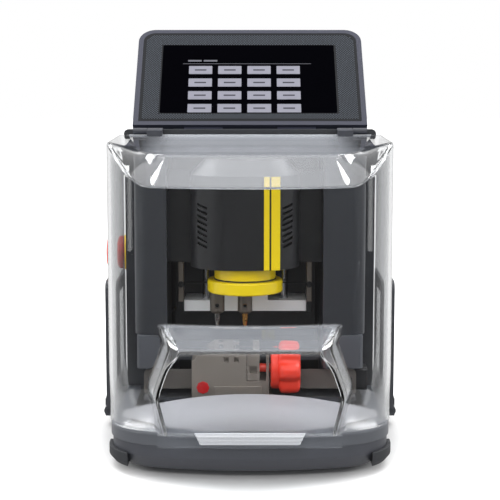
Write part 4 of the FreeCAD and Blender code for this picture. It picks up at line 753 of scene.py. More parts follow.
class KEYMACHINE_OT_casing(Operator):
    """Base, cowl, columns, housing and handles"""

    bl_idname = "keymachine.casing"
    bl_label = "Casing"

    def execute(self, context):
        look = context.scene.keymachine_casing
        soft = look.edge_round
        tub = finish("tub_plastic", look.tub, 0.42, mottle=0.06, **MOULDED)
        rim = finish("rim_plastic", look.rim, 0.36, mottle=0.05, **MOULDED)
        column = finish("column_plastic", look.column, 0.38, mottle=0.07, **MOULDED)
        bumper = finish("bumper_rubber", look.bumper, 0.62, mottle=0.08, **MOULDED)
        foot = finish("foot_rubber", look.foot, 0.75, grain=700, depth=0.5)
        # The cowl's colour carries painted shade towards its front and its ends
        cowl = finish("cowl_paint", look.cowl, 0.38, grain=3000, depth=0.04, mottle=0.02, painted_shades=COWL_PAINTED_SHADE)
        plinth = finish("plinth_plastic", look.plinth, 0.4, mottle=0.06, **MOULDED)
        grip = finish("handle_plastic", look.handle, 0.4, mottle=0.06, **MOULDED)
        pivot = finish("pivot_paint", look.pivot, 0.4, grain=900, depth=0.2, metal=0.2)
        dress("base_pan", tub, bevel=3 * soft, segments=4, angle=25)
        for node, material, share in (
                ("base_rim", rim, 0.6), ("corner_bumpers", bumper, 1.2), ("rubber_feet", foot, 1),
                ("front_cowl", cowl, 0.8), ("head_shell", column, 1.6), ("column_plinth", plinth, 1),
                ("rear_housing", column, 1), ("top_deck", column, 1), ("handle_left", grip, 1),
                ("handle_right", grip, 1), ("handle_blocks", pivot, 0.8)):
            dress(node, material, bevel=share * soft, segments=3)
        return {"FINISHED"}


# Clear cover: how its skin is sampled, as shares of each stretch and rises in millimetres
SIDE_SHARES = (0, 0.03, 0.12, 0.3, 0.5, 0.7, 0.88)
CORNER_STEPS = 11
OUT_SHARES = (0.0, 0.3, 0.6, 0.85)
BULGE_SIDE_SHARES = (0.0, 0.12, 0.4, 0.7, 0.9)
BEVEL_SHARES = (0.0, 0.12, 0.5, 0.88)
FACE_SHARES = (0.15, 0.35, 0.55, 0.75, 0.9, 0.975, 1)
FOOT_RISES = (0, 0.8, 3, 6.6, 11.1, 16.6, 23.6, 30.6, 38.6, 47.6, 57.6)
BROW_RISES = (-5, -1.3, 1.3, 5)
ROOT_RISES = (-4, -0.4, 0.6, 4)
WALL_RISE = 14
WALL_SHARES = (0.0, 0.25, 0.5, 0.75, 0.92, 0.985)
SOFT_FROM = 0.9
SHOULDER_SHARES = (0.03, 0.12, 0.3, 0.5, 0.7, 0.88, 0.97, 1.0)
SHOULDER_ROUND = 0.3
PANEL_SHARES = (0.985, 0.93)
PANEL_MIDDLE_Y = -20 * MM
FLARE_FRONT_POWER = 3.1
FLARE_SIDE_POWER = 1.6
TURN_START = math.radians(12)
TURN_SPAN = math.radians(70)
TURN_INSET = 20 * MM
EDGE_ROOM = 1 * MM
TINY = 0.001 * MM
LIP_GROOVE = 0.7
RIDGE_EDGES = (0.25, 0.75)
# Faces that get the painted sheen: how far they face up and how little they lean sideways
PAINTED_SHEEN_RISE = 0.25
PAINTED_SHEEN_SLANT = 0.3


def front_stations():
    """Columns across the front wall: side, kind and share, from the left tangent to the right one."""
    left = [("out", share) for share in OUT_SHARES]
    left += [("side", share) for share in BULGE_SIDE_SHARES]
    left += [("bevel", share) for share in BEVEL_SHARES]
    middle = [(0, "face", -share) for share in reversed(FACE_SHARES)]
    middle += [(0, "face", share) for share in FACE_SHARES]
    return [(-1, *item) for item in left] + middle + [(1, *item) for item in reversed(left)]


class WallPlan:
    """Plan of the cover's wall at one height: straight sides, round corners and a bowed front."""

    def __init__(self, look, forward=0.0, out=0.0):
        self.half = look.half + out
        self.bow = look.bow
        self.corner = look.corner + look.flare_corner * forward / look.flare_front
        self.straight = self.half - self.corner
        self.middle_y = look.bow - look.front - forward
        self.side_y = self.middle_y - math.sqrt((self.bow - self.corner) ** 2 - self.straight ** 2)
        self.tangent_x = self.bow * self.straight / (self.bow - self.corner)

    def wall_y(self, x):
        """Y of the front wall or its corner at a place across."""
        if abs(x) <= self.tangent_x:
            return self.middle_y - math.sqrt(self.bow ** 2 - x ** 2)
        return self.side_y - math.sqrt(max(self.corner ** 2 - (abs(x) - self.straight) ** 2, 0))


class CoverForm:
    """Outer skin of the cover as rows of points, sampled from its sizes."""

    def __init__(self, look):
        self.look = look
        self.stations = front_stations()
        self.upright = WallPlan(look)
        self.plain = self.loop(look.bulge_root + ROOT_RISES[-1] * MM)

    def flare(self, z):
        """How far the wall has run forward and out at a height."""
        s = self.look
        fall = max(s.flare_top - z, 0) / (s.flare_top - s.foot)
        return s.flare_front * fall ** FLARE_FRONT_POWER, s.flare_side * fall ** FLARE_SIDE_POWER

    def bulge_half(self, z):
        """Half width of the bulge at a height."""
        s = self.look
        z = min(max(z, s.foot), s.bulge_root)
        if z >= s.bulge_brow:
            share = (z - s.bulge_brow) / (s.bulge_root - s.bulge_brow)
            return s.bulge_shoulder + (s.bulge_top - s.bulge_shoulder) * share
        if z >= s.bulge_mid_height:
            share = (z - s.bulge_mid_height) / (s.bulge_brow - s.bulge_mid_height)
            return s.bulge_mid + (s.bulge_shoulder - s.bulge_mid) * share
        share = (s.bulge_mid_height - z) / (s.bulge_mid_height - s.foot)
        return s.bulge_mid + (s.bulge_low - s.bulge_mid) * share

    def bulge_reach(self, z):
        """Y of the bulge's face at a height and how much of it has grown out of the wall there."""
        s = self.look
        edge = s.bulge_lean - s.bulge_front
        if z > s.bulge_root:
            return edge, 0.0
        if z >= s.bulge_brow:
            return edge, (s.bulge_root - z) / (s.bulge_root - s.bulge_brow)
        return edge - s.bulge_lean * (s.bulge_brow - z) / (s.bulge_brow - s.foot), 1.0

    def side_points(self, plan):
        """Left side wall and left corner, from the rear to the front wall."""
        rear = self.look.rear
        points = [(-plan.half, rear + (plan.side_y - rear) * share) for share in SIDE_SHARES]
        turn = math.acos((self.upright.tangent_x - plan.straight) / plan.corner)
        for step in range(CORNER_STEPS):
            angle = turn * step / CORNER_STEPS
            points.append((-plan.straight - plan.corner * math.cos(angle),
                           plan.side_y - plan.corner * math.sin(angle)))
        return points

    def station_place(self, z, kind, share):
        """Distance across of a station at a height, and its share of the bulge's reach."""
        s = self.look
        start, edge = self.upright.tangent_x, self.bulge_half(z)
        wide = z > s.bulge_brow - s.bulge_bevel_reach
        bevel = s.bulge_bevel if wide else s.bulge_bevel_low
        if kind == "out":
            return start + (edge + s.bulge_draft - start) * share, 0.0
        if kind == "side":
            return edge + s.bulge_draft * (1 - share), share * s.bulge_side
        if kind == "bevel":
            return edge - bevel * share, s.bulge_side + (1 - s.bulge_side) * share
        return (edge - bevel) * share, 1.0

    def loop(self, z):
        """Plan points at a height, from the rear left round the front to the rear right."""
        plan = WallPlan(self.look, *self.flare(z))
        left = self.side_points(plan)
        points = list(left)
        face, grown_out = self.bulge_reach(z)
        for sign, kind, share in self.stations:
            x, fill = self.station_place(z, kind, share)
            x *= sign or 1
            wall = plan.wall_y(x)
            points.append((x, wall + (min(face, wall) - wall) * fill * grown_out))
        return points + [(-x, y) for x, y in reversed(left)]

    def panel(self, y):
        """Height of the flat roof panel at a depth."""
        s = self.look
        return s.brow + (s.roof_rear - s.brow) * (y + s.brow_front) / (s.rear + s.brow_front)

    def turned(self, x, y):
        """How far a point of the wall has come round the front corner, 0 at the side and 1 at the front."""
        out = max(abs(x) - self.upright.straight, -TURN_INSET)
        turn = math.atan2(self.upright.side_y - y, out)
        return min(max((turn - TURN_START) / TURN_SPAN, 0), 1)

    def rim(self, x, y):
        """Height of the wall's top edge, which sweeps down round the front corners."""
        s = self.look
        share = self.turned(x, y)
        return s.side_top - (s.side_top - s.shoulder) * share * share * (3 - 2 * share)

    def wall_row(self, share):
        """Row between the plain wall and its top edge, sunk near the top of the sides to round them."""
        low = self.look.bulge_root + WALL_RISE * MM
        sink = self.look.shoulder_soft if share > SOFT_FROM else 0.0
        return [(x, y, low + (self.rim(x, y) - low) * share - sink * (1 - self.turned(x, y)))
                for x, y in self.plain]

    def wall_rows(self):
        """Rows of the wall from the foot up to its top edge."""
        s = self.look
        heights = [s.foot + rise * MM for rise in FOOT_RISES]
        heights += [s.bulge_brow + rise * MM for rise in BROW_RISES]
        heights += [s.bulge_root + rise * MM for rise in ROOT_RISES]
        rows = [[(x, y, z) for x, y in self.loop(z)] for z in heights]
        rows += [self.wall_row(share) for share in WALL_SHARES]
        rows.append([(x, y, self.rim(x, y)) for x, y in self.plain])
        return rows

    def border_point(self, x, y):
        """Point of the roof panel's edge that belongs to a point of the wall's top edge, on the right."""
        s, plan = self.look, self.upright
        flat = s.panel_waist - s.panel_corner
        straight_x = s.crease_start * plan.tangent_x
        if y >= plan.side_y:
            inner_y = s.rear + (y - s.rear) * (s.rear + s.panel_waist_front) / (s.rear - plan.side_y)
            share = (s.rear - inner_y) / (s.rear + s.panel_waist_front)
            return s.panel_rear + (s.panel_waist - s.panel_rear) * share, inner_y
        if x < straight_x:
            return flat * x / straight_x, -s.brow_front
        if x > plan.tangent_x + TINY:
            full = math.atan2(plan.side_y - plan.wall_y(plan.tangent_x), plan.tangent_x - plan.straight)
            turn = math.atan2(plan.side_y - y, x - plan.straight) / full * s.crease_turn
        else:
            share = (1 - x / plan.tangent_x) / (1 - s.crease_start)
            turn = s.crease_turn + (math.pi / 2 - s.crease_turn) * share
        deep = s.brow_front - s.panel_waist_front
        return flat + s.panel_corner * math.cos(turn), -s.panel_waist_front - deep * math.sin(turn)

    def border(self):
        """Edge of the roof panel, point for point inside the wall's top edge."""
        points = []
        for x, y in self.plain:
            inner_x, inner_y = self.border_point(abs(x), y)
            points.append((math.copysign(inner_x, x), inner_y, self.panel(inner_y)))
        return points

    def shoulder_row(self, rim, border, share):
        """Row between the wall's top edge and the roof panel: round at the sides, flat at the front."""
        row = []
        for outer, inner in zip(rim, border):
            near = share + SHOULDER_ROUND * (1 - share) * (1 - self.turned(*outer[:2]))
            row.append(tuple(a + (b - a) * near for a, b in zip(outer, inner)))
        return row

    def panel_row(self, border, share):
        """Row of the flat roof panel inside its edge."""
        row = []
        for x, y, _ in border:
            at_rear = y > self.look.rear - EDGE_ROOM
            along = y if at_rear else PANEL_MIDDLE_Y + (y - PANEL_MIDDLE_Y) * share
            row.append((x * share, along, self.panel(along)))
        return row


def cover_skin(look):
    """Wall and roof of the cover as one open skin."""
    form = CoverForm(look)
    rows = form.wall_rows()
    rim, border = rows[-1], form.border()
    rows += [form.shoulder_row(rim, border, share) for share in SHOULDER_SHARES]
    rows += [form.panel_row(border, share) for share in PANEL_SHARES]
    count = len(rim)
    faces = grid_faces(len(rows), count)
    last = (len(rows) - 1) * count
    for step in range(count // 2 - 1):
        mirror = count - 1 - step
        faces.append((last + step, last + step + 1, last + mirror - 1, last + mirror))
    return mesh_from("cover_skin", [point for row in rows for point in row], faces)


def cover_mesh(look):
    """Skin of the cover, subdivided and given its thickness."""
    piece = loose_object("cover_form", cover_skin(look))
    divide = piece.modifiers.new("Smooth", "SUBSURF")
    divide.levels = 2
    divide.render_levels = 2
    thick = piece.modifiers.new("Wall", "SOLIDIFY")
    thick.thickness = look.wall
    thick.offset = -1
    thick.use_even_offset = True
    result = evaluated_mesh(piece)
    smooth_by_angle(result, 50)
    return result


def lip_profile(look):
    """Side view of the finger lip, from its back foot round the ridges to its back top."""
    ridge, steps = look.lip_ridge, 2 * look.lip_ridges
    profile = [(-look.lip_back, look.lip_low)]
    for index in range(steps):
        z = look.lip_low + ridge * index
        groove = LIP_GROOVE * ridge if index % 2 else 0.0
        profile += [(groove - look.lip_front, z + share * ridge) for share in RIDGE_EDGES]
    profile.append((-look.lip_back, look.lip_low + ridge * steps))
    return profile


def lip_mesh(look):
    """Ridged finger lip: its profile swept across, with pulled-in ends and a narrower foot."""
    profile = lip_profile(look)
    half, ridge = look.lip_half, look.lip_ridge
    back, low = profile[0]
    top = profile[-1][1]
    points = []
    for x, pull in ((-half, ridge), (ridge - half, 0.0), (half - ridge, 0.0), (half, ridge)):
        for y, z in profile:
            narrow = 1 - look.lip_taper * (top - z) / ((top - low) * half)
            points.append((x * narrow, y + pull if y < back - TINY else y, z))
    count = len(profile)
    faces = grid_faces(4, count, True)
    faces += [tuple(range(count)), tuple(range(3 * count, 4 * count))]
    return mesh_from("lip_skin", points, faces)


class KEYMACHINE_OT_cover(Operator):
    """Clear lift-up cover with its front bulge, apron, lip and hinges"""

    bl_idname = "keymachine.cover"
    bl_label = "Clear cover"

    def execute(self, context):
        look = context.scene.keymachine_cover
        clear = clear_plastic("cover_clear", look.tint, look.sheen_paint, 0.0)
        shell = place_piece("cover_clear_shell", cover_mesh(look), clear, "cover", ["cover_shell"])
        # The upward faces get the painted sheen that stands in for the roof's and the bulge's reflections
        shell.data.materials.append(clear_plastic("cover_painted_sheen", look.tint, look.sheen_paint, look.painted_sheen))
        for face in shell.data.polygons:
            face.material_index = int(self.gets_painted_sheen(look, face))
        # Frosted finish: the lip's own colour, and a painted highlight on the rear bead
        frost_and_edge_highlight = finish("lip_and_edge_highlight_plastic", look.frost, 0.25, mottle=0.02, coat=0.4, **POLISHED)
        place_piece("cover_lip", lip_mesh(look), frost_and_edge_highlight, "cover")
        # Painted highlight: a frosted strip where the clear rear edge catches the light
        self.strip("cover_rear_edge", look, (look.bead_wide, look.bead_tall), look.bead_deep,
                   (0, look.rear - look.bead_inset, look.bead_middle), frost_and_edge_highlight)
        self.strip("cover_apron", look, (look.apron_wide, look.apron_tall), look.apron_deep,
                   (0, -look.apron_front, look.apron_middle), clear)
        steel = finish("hinge_paint", look.hinge, 0.4, grain=3000, depth=0.06, mottle=0.05)
        for node in ("cover_hinge_leaves", "cover_hinge_brackets"):
            dress(node, steel, bevel=0.4 * MM)
        return {"FINISHED"}

    def gets_painted_sheen(self, look, face):
        """True for the upward faces of the roof and the top of the bulge, which get a milky painted sheen
        that stands in for their reflections.
        """
        upward = face.normal.z > PAINTED_SHEEN_RISE and abs(face.normal.x) < PAINTED_SHEEN_SLANT
        return upward and face.center.z > look.bulge_brow

    def strip(self, name, look, size, deep, place, material):
        """Upright rounded strip across the cover, with its back at a place."""
        matrix = Matrix.Translation(place) @ Matrix.Rotation(math.pi / 2, 4, "X")
        piece = pads(name, size, look.strip_round, deep, matrix, material, "cover", "clear")
        smooth_by_angle(piece.data, 40)


# Spindle head
STRIPE_STEPS = 6
GRUB_PROUD = 0.03 * MM
LAND_RINGS = 28
LAND_SECTION = ((-0.35, -0.4 * MM), (0.0, 0.35 * MM), (0.35, -0.4 * MM))


def stripe_mesh(look, left, width):
    """Thin painted stripe that follows the bowed hood front."""
    middle_x = JOINT_AT["spindle"].x
    middle_y = look.hood_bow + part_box("spindle_hood")[0].y
    points = []
    for radius in (look.hood_bow + look.stripe_lift, look.hood_bow - look.stripe_sink):
        for z in (look.stripe_low, look.stripe_high):
            for step in range(STRIPE_STEPS + 1):
                x = left + width * step / STRIPE_STEPS
                points.append((x, middle_y - math.sqrt(radius ** 2 - (x - middle_x) ** 2), z))
    row = STRIPE_STEPS + 1
    faces = []
    for step in range(STRIPE_STEPS):
        a, b, c, d = (step + row * index for index in range(4))
        faces += [(a, a + 1, b + 1, b), (c, c + 1, d + 1, d), (a, a + 1, c + 1, c), (b, b + 1, d + 1, d)]
    faces += [(end, row + end, 3 * row + end, 2 * row + end) for end in (0, STRIPE_STEPS)]
    return mesh_from("stripe", points, faces)


def gap_shade_mesh(look):
    """Dark ring in the head's yellow ring, painted shade in the gap between the drum and the ring."""
    corners = [(look.groove_in, look.groove_low), (look.groove_out, look.groove_low),
               (look.groove_out, look.groove_high), (look.groove_in, look.groove_high)]
    return lathe("ring_gap_shade", corners + corners[:1], JOINT_AT["spindle"])


def land_mesh(look):
    """Two spiral lands round the cutter's shank end."""
    axis = JOINT_AT["spindle"]
    points, faces = [], []
    for flute in range(2):
        offset = len(points)
        for step in range(LAND_RINGS):
            share = step / (LAND_RINGS - 1)
            radius = look.land_radius - look.land_taper * share
            turn = math.pi * flute + look.land_turn * share
            for spread, lift in LAND_SECTION:
                reach, angle = radius + lift, turn + spread
                points.append((axis.x + reach * math.cos(angle), axis.y + reach * math.sin(angle),
                               look.land_top - look.land_fall * share))
        faces += [tuple(offset + i for i in face) for face in grid_faces(LAND_RINGS, 3, True)]
        faces += [tuple(offset + 3 * ring + i for i in range(3)) for ring in (0, LAND_RINGS - 1)]
    return mesh_from("cutter_lands", points, faces)


class KEYMACHINE_OT_head(Operator):
    """Spindle hood, ring, chucks, tools and the vertical axis"""

    bl_idname = "keymachine.head"
    bl_label = "Spindle head"

    def execute(self, context):
        look = context.scene.keymachine_head
        black = finish("blackened_steel", look.black, 0.4, grain=800, depth=0.2, metal=0.4)
        self.hood(look)
        self.tools(look)
        self.column(look, black)
        self.axes(look)
        self.grub_screws(look, black)
        return {"FINISHED"}

    def hood(self, look):
        """Hood with its stripes, and the yellow ring and drum below it."""
        hood = finish("hood_plastic", look.hood, 0.42, mottle=0.08, **MOULDED)
        dress("spindle_hood", hood, bevel=0.8 * MM, angle=40)
        yellow = finish("stripe_paint", look.stripe, 0.32, grain=1600, depth=0.06, mottle=0.02, coat=0.2)
        wide_left = look.stripe_left + look.stripe_thin + look.stripe_gap
        for name, left, width in (("stripe_thin", look.stripe_left, look.stripe_thin),
                                  ("stripe_wide", wide_left, look.stripe_wide)):
            place_piece(name, stripe_mesh(look, left, width), yellow, "base")
        dress("light_ring", yellow, bevel=0.4 * MM)
        # Dark ring painted as the shade in the gap above the yellow ring
        dark = finish("gap_shade_dark", look.groove, 0.5)
        place_piece("ring_gap_shade", gap_shade_mesh(look), dark, "head")
        dress("spindle_housing", yellow, bevel=0.5 * MM)

    def tools(self, look):
        """Chucks, straps, probe and cutter."""
        turned = finish("chuck_steel", look.chuck, 0.34, grain=700, depth=0.25, mottle=0.06, metal=0.75,
                        stretch=(1, 1, 8))
        for node in ("probe_chuck", "cutter_chuck"):
            dress(node, turned, bevel=0.3 * MM)
        dress("z_straps", turned, bevel=0.4 * MM)
        dress("probe_tip", finish("probe_steel", look.probe, 0.25, metal=1, **POLISHED), bevel=0.1 * MM)
        coat = finish("cutter_coat", look.gold, 0.28, grain=900, depth=0.15, metal=1)
        dress("cutter", coat, bevel=0.1 * MM)
        land = finish("flute_gold", look.land, 0.3, metal=1, **POLISHED)
        place_piece("cutter_lands", land_mesh(look), land, "spindle")

    def column(self, look, black):
        """Cross bar, strap feet, castings and top plate."""
        white = finish("bar_paint", look.bar, 0.35, grain=1500, depth=0.06, mottle=0.015)
        dress("z_foot_bar", white, bevel=0.6 * MM)
        dress("strap_feet", black, bevel=0.4 * MM)
        dress("strap_screws", black, bevel=0.5 * MM)
        cast = finish("cast_paint", look.cast, 0.5, grain=900, depth=0.2, mottle=0.1)
        for node in ("column_frame", "head_carriage"):
            dress(node, cast, bevel=0.8 * MM)
        plate = finish("plate_alloy", look.plate, 0.35, grain=600, depth=0.2, metal=1, stretch=(0.1, 1, 1))
        dress("z_top_plate", plate, bevel=0.5 * MM)

    def axes(self, look):
        """Guide rods, lead screws and motors."""
        rod = finish("ground_rod", look.rod, 0.16, mottle=0.03, metal=1, stretch=(1, 1, 6), **POLISHED)
        for node in ("z_rods", "y_rods", "x_rods", "spindle_shaft"):
            paint(node, rod)
        thread = finish("rolled_thread", look.thread, 0.3, grain=500, depth=0.4, mottle=0.06, metal=1)
        for node in ("z_screw", "y_screw", "x_screw"):
            paint(node, thread)
        motor = finish("motor_black", look.motor, 0.42, grain=700, depth=0.25, mottle=0.06, metal=0.3)
        for node in ("axis_motors", "x_motor", "spindle_motor"):
            dress(node, motor, bevel=0.6 * MM)

    def grub_screws(self, look, black):
        """One grub screw in the front of each chuck."""
        for tool, body in (("probe", "head"), ("cutter", "spindle")):
            low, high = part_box(tool + "_chuck")
            spot = ((low.x + high.x) / 2, low.y - GRUB_PROUD, look.grub_height)
            studs("chuck_grub_" + tool, [spot], look.grub_radius, look.grub_deep, 6, ALONG_Y, black, body)


# Clamp: the knob's side view in millimetres along X, radii and shares of the lobes' depth
KNOB_NECK = ((4.0, 0, 0), (4.0, 3.9, 0), (18.5, 3.9, 0), (18.5, 17.0, 0), (19.2, 18.6, 0), (24.5, 19.0, 0),
             (25.2, 18.4, 0), (25.6, 18.6, 0.2), (26.6, 21.6, 0.8))
KNOB_GRIP = ((28.2, 0, 1), (32.0, 0.2, 1), (40.0, 0, 1), (43.0, -0.9, 1), (44.6, -3.0, 0.9))
KNOB_FACE = ((45.0, 16.5, 0.5), (44.6, 12.0, 0.1), (42.5, 10.0, 0), (42.0, 0, 0))
KNOB_STEPS = 144
KNOB_WAVE_POWER = 1.6
GUARD_SCREW = Screw(radius=2.1 * MM, height=1.1 * MM, sides=20, socket_radius=1.0 * MM,
                    socket_height=0.6 * MM, socket_shift=(0, -0.4 * MM, 0))
TOP_SCREW = Screw(radius=2.4 * MM, height=0.7 * MM, sides=20, socket_radius=1.2 * MM,
                  socket_height=0.6 * MM, socket_shift=(0, 0, 0.15 * MM))
TOP_SCREW_SINK = 0.05 * MM


def knob_mesh(look):
    """Lobed knob along X with a collar and a dished face; its grip's radii count from the knob's radius."""
    axis = JOINT_AT["knob"]
    profile = [(x * MM, radius * MM, lobed) for x, radius, lobed in KNOB_NECK]
    profile += [(x * MM, look.knob_radius + extra * MM, lobed) for x, extra, lobed in KNOB_GRIP]
    profile += [(x * MM, radius * MM, lobed) for x, radius, lobed in KNOB_FACE]
    points = []
    for x, radius, lobed in profile:
        for step in range(KNOB_STEPS):
            angle = 2 * math.pi * step / KNOB_STEPS
            wave = (0.5 - 0.5 * math.cos(look.lobes * angle)) ** KNOB_WAVE_POWER
            reach = radius - lobed * look.knob_dip * wave
            points.append((x, axis.y + reach * math.cos(angle), axis.z + reach * math.sin(angle)))
    mesh = mesh_from("knob_skin", points, grid_faces(len(profile), KNOB_STEPS, True))
    smooth_by_angle(mesh, 48)
    return mesh


class KEYMACHINE_OT_clamp(Operator):
    """Cross slide, key clamp, badge and knob"""

    bl_idname = "keymachine.clamp"
    bl_label = "Clamp"

    def execute(self, context):
        look = context.scene.keymachine_clamp
        steel = finish("clamp_steel", look.steel, 0.34, grain=900, depth=0.15, metal=0.35,
                       stretch=(0.15, 1, 1))
        sheet = finish("guard_sheet", look.sheet, 0.34, grain=420, depth=0.25, metal=0.35,
                       stretch=(0.05, 1, 1))
        for node in ("clamp_body", "clamp_jaw", "x_carriage"):
            dress(node, steel, bevel=0.5 * MM)
        dress("x_guard", sheet, bevel=0.3 * MM)
        alloy = finish("bed_alloy", look.alloy, 0.4, grain=500, depth=0.25, metal=1, stretch=(0.1, 1, 1))
        for node in ("machine_bed", "y_end_bars", "x_end_blocks", "y_saddle"):
            dress(node, alloy, bevel=0.5 * MM)
        enamel = finish("badge_enamel", look.badge, 0.25, grain=1500, depth=0.05, mottle=0.03, coat=0.6)
        dress("clamp_badge", enamel, bevel=0.3 * MM)
        red = finish("knob_plastic", look.red, 0.34, grain=1100, depth=0.12, mottle=0.04, coat=0.15)
        place_piece("clamp_knob_form", knob_mesh(look), red, "knob", ["clamp_knob"])
        self.screws(look)
        return {"FINISHED"}

    def screws(self, look):
        """Screws in the guard's ears and on top of the clamp."""
        # Bright heads, and dark discs painted as the sockets' shade
        metals = (finish("screw_bright", look.screw, 0.25, metal=1, **POLISHED),
                  finish("socket_painted_shade", look.socket, 0.5, **POLISHED))
        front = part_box("x_guard")[0].y - GUARD_SCREW.height / 2
        ears = [(x, front, z) for x in (-look.guard_screw_x, look.guard_screw_x)
                for z in (look.guard_screw_high, look.guard_screw_low)]
        socket_screws("guard", ears, GUARD_SCREW, ALONG_Y, metals, "saddle")
        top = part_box("clamp_body")[1].z - TOP_SCREW_SINK
        tops = [(x, y, top) for x in (look.top_screw_left, look.top_screw_right)
                for y in (-look.top_screw_front, -look.top_screw_back)]
        socket_screws("clamp", tops, TOP_SCREW, UPRIGHT, metals, "carriage")


# Screen
def screen_place(look, x, z, lift):
    """Matrix from a flat XY drawing to the screen's leaning face."""
    pivot = Matrix.Translation(JOINT_AT["screen"]) @ Matrix.Rotation(-look.lean, 4, "X")
    return pivot @ Matrix.Translation((x, -look.face - lift, z)) @ Matrix.Rotation(math.pi / 2, 4, "X")


def dot_points(look):
    """Staggered points on the panel's face round the display window."""
    place = screen_place(look, 0, 0, -look.dot_sink)
    step, half = look.dot_step, look.dot_half
    spots = []
    for row in range(int((look.dot_high - look.dot_low) / (step / 2)) + 1):
        z = look.dot_low + row * step / 2
        for column in range(int(2 * half / step) + 1):
            x = -half + column * step + (step / 2 if row % 2 else 0)
            beside = abs(x - look.display_x) >= look.window_half
            clear = beside or not look.window_low < z < look.window_high
            aside = max(0, abs(x) - half + look.dot_round)
            above = max(0, z - look.dot_high + look.dot_round)
            if clear and math.hypot(aside, above) < look.dot_round:
                spots.append(place @ Vector((x, z, 0)))
    return spots


class KEYMACHINE_OT_screen(Operator):
    """Tilting screen with its perforated panel and drawn keys"""

    bl_idname = "keymachine.screen"
    bl_label = "Screen"

    def execute(self, context):
        look = context.scene.keymachine_screen
        case = finish("screen_case", look.case, 0.42, specular=0.25, **TRIMMED)
        dress("screen_shell", case, bevel=1.6 * MM, segments=4)
        self.board(look)
        post = finish("post_paint", look.post, 0.4, grain=900, depth=0.2)
        dress("screen_hinge_bracket", post, bevel=0.5 * MM)
        self.perforations(look)
        self.drawing(look)
        return {"FINISHED"}

    def board(self, look):
        """Front panel with its square foot, and the dark display on it."""
        panel = finish("screen_panel", look.bezel, 0.5, specular=0.12, **TRIMMED)
        glass = finish("display_glass", look.glass, 0.2, grain=3000, depth=0.01, mottle=0.1, specular=0.0)
        back = -look.board_sink
        board = pads("screen_board", (look.board_wide, look.board_tall), look.board_round, look.board_deep,
                     screen_place(look, 0, look.board_middle, back), panel, "screen", "bezel")
        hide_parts("screen_bezel", "screen_glass")
        pads("screen_board_foot", (look.board_wide, look.foot_tall), look.foot_round, look.foot_deep,
             screen_place(look, 0, look.foot_middle, back), panel, "screen", "bezel")
        pads("screen_display", (look.display_wide, look.display_tall), look.display_round, look.film,
             screen_place(look, look.display_x, look.display_middle, 0), glass, "screen", "display")

    def perforations(self, look):
        """Small discs in a staggered field on the panel."""
        dots = finish("panel_dots", look.dots, 0.5, mottle=0.08, specular=0.1, **TRIMMED)
        turn = (math.pi / 2 - look.lean, 0, 0)
        mesh = stud_mesh("panel_dots", dot_points(look), look.dot_radius, look.dot_deep, 6, turn, dots)
        place_piece("panel_dots", mesh, dots, "screen")

    def drawing(self, look):
        """Keys with their bars, the rule over them and two title bars."""
        keys = finish("key_ink", look.keys, 0.4, mottle=0.03, specular=0.05, **PRINTED)
        ink = finish("key_dark", look.marks, 0.5, specular=0.05, **PRINTED)
        line = finish("line_ink", look.line, 0.5, specular=0.05, **PRINTED)
        rows = {"grid": (4, 4), "step": (look.key_step_x, look.key_step_z)}
        place = screen_place(look, look.key_x, look.key_middle, look.film)
        drawn = pads("screen_keys", (look.key_wide, look.key_tall), look.key_round, look.key_rise, place,
                     keys, "screen", "display", **rows)
        # The pale keys stay out of the roof's reflections
        drawn.visible_glossy = False
        place = screen_place(look, look.key_x, look.key_middle, look.film + look.key_rise)
        pads("screen_key_marks", (look.mark_wide, look.mark_tall), look.bar_round, look.mark_rise, place, ink,
             "screen", "display", **rows)
        place = screen_place(look, look.rule_x, look.rule_middle, look.film)
        pads("screen_rule", (look.rule_wide, look.rule_tall), look.rule_tall / 5, look.film, place, line,
             "screen", "display")
        place = screen_place(look, look.title_x, look.title_middle, look.film)
        pads("screen_title_bars", (look.title_wide, look.title_tall), look.bar_round, look.film, place, line,
             "screen", "display", grid=(2, 1), step=(look.title_step, 0))


# Back and left side
PANEL_SCREW = Screw(radius=2.7 * MM, height=1.2 * MM, sides=24, socket_radius=1.3 * MM,
                    socket_height=0.8 * MM, socket_shift=(0, 0.4 * MM, 0))
INLET_SCREW_RADIUS = 2.2 * MM
INLET_SCREW_HEIGHT = 0.9 * MM


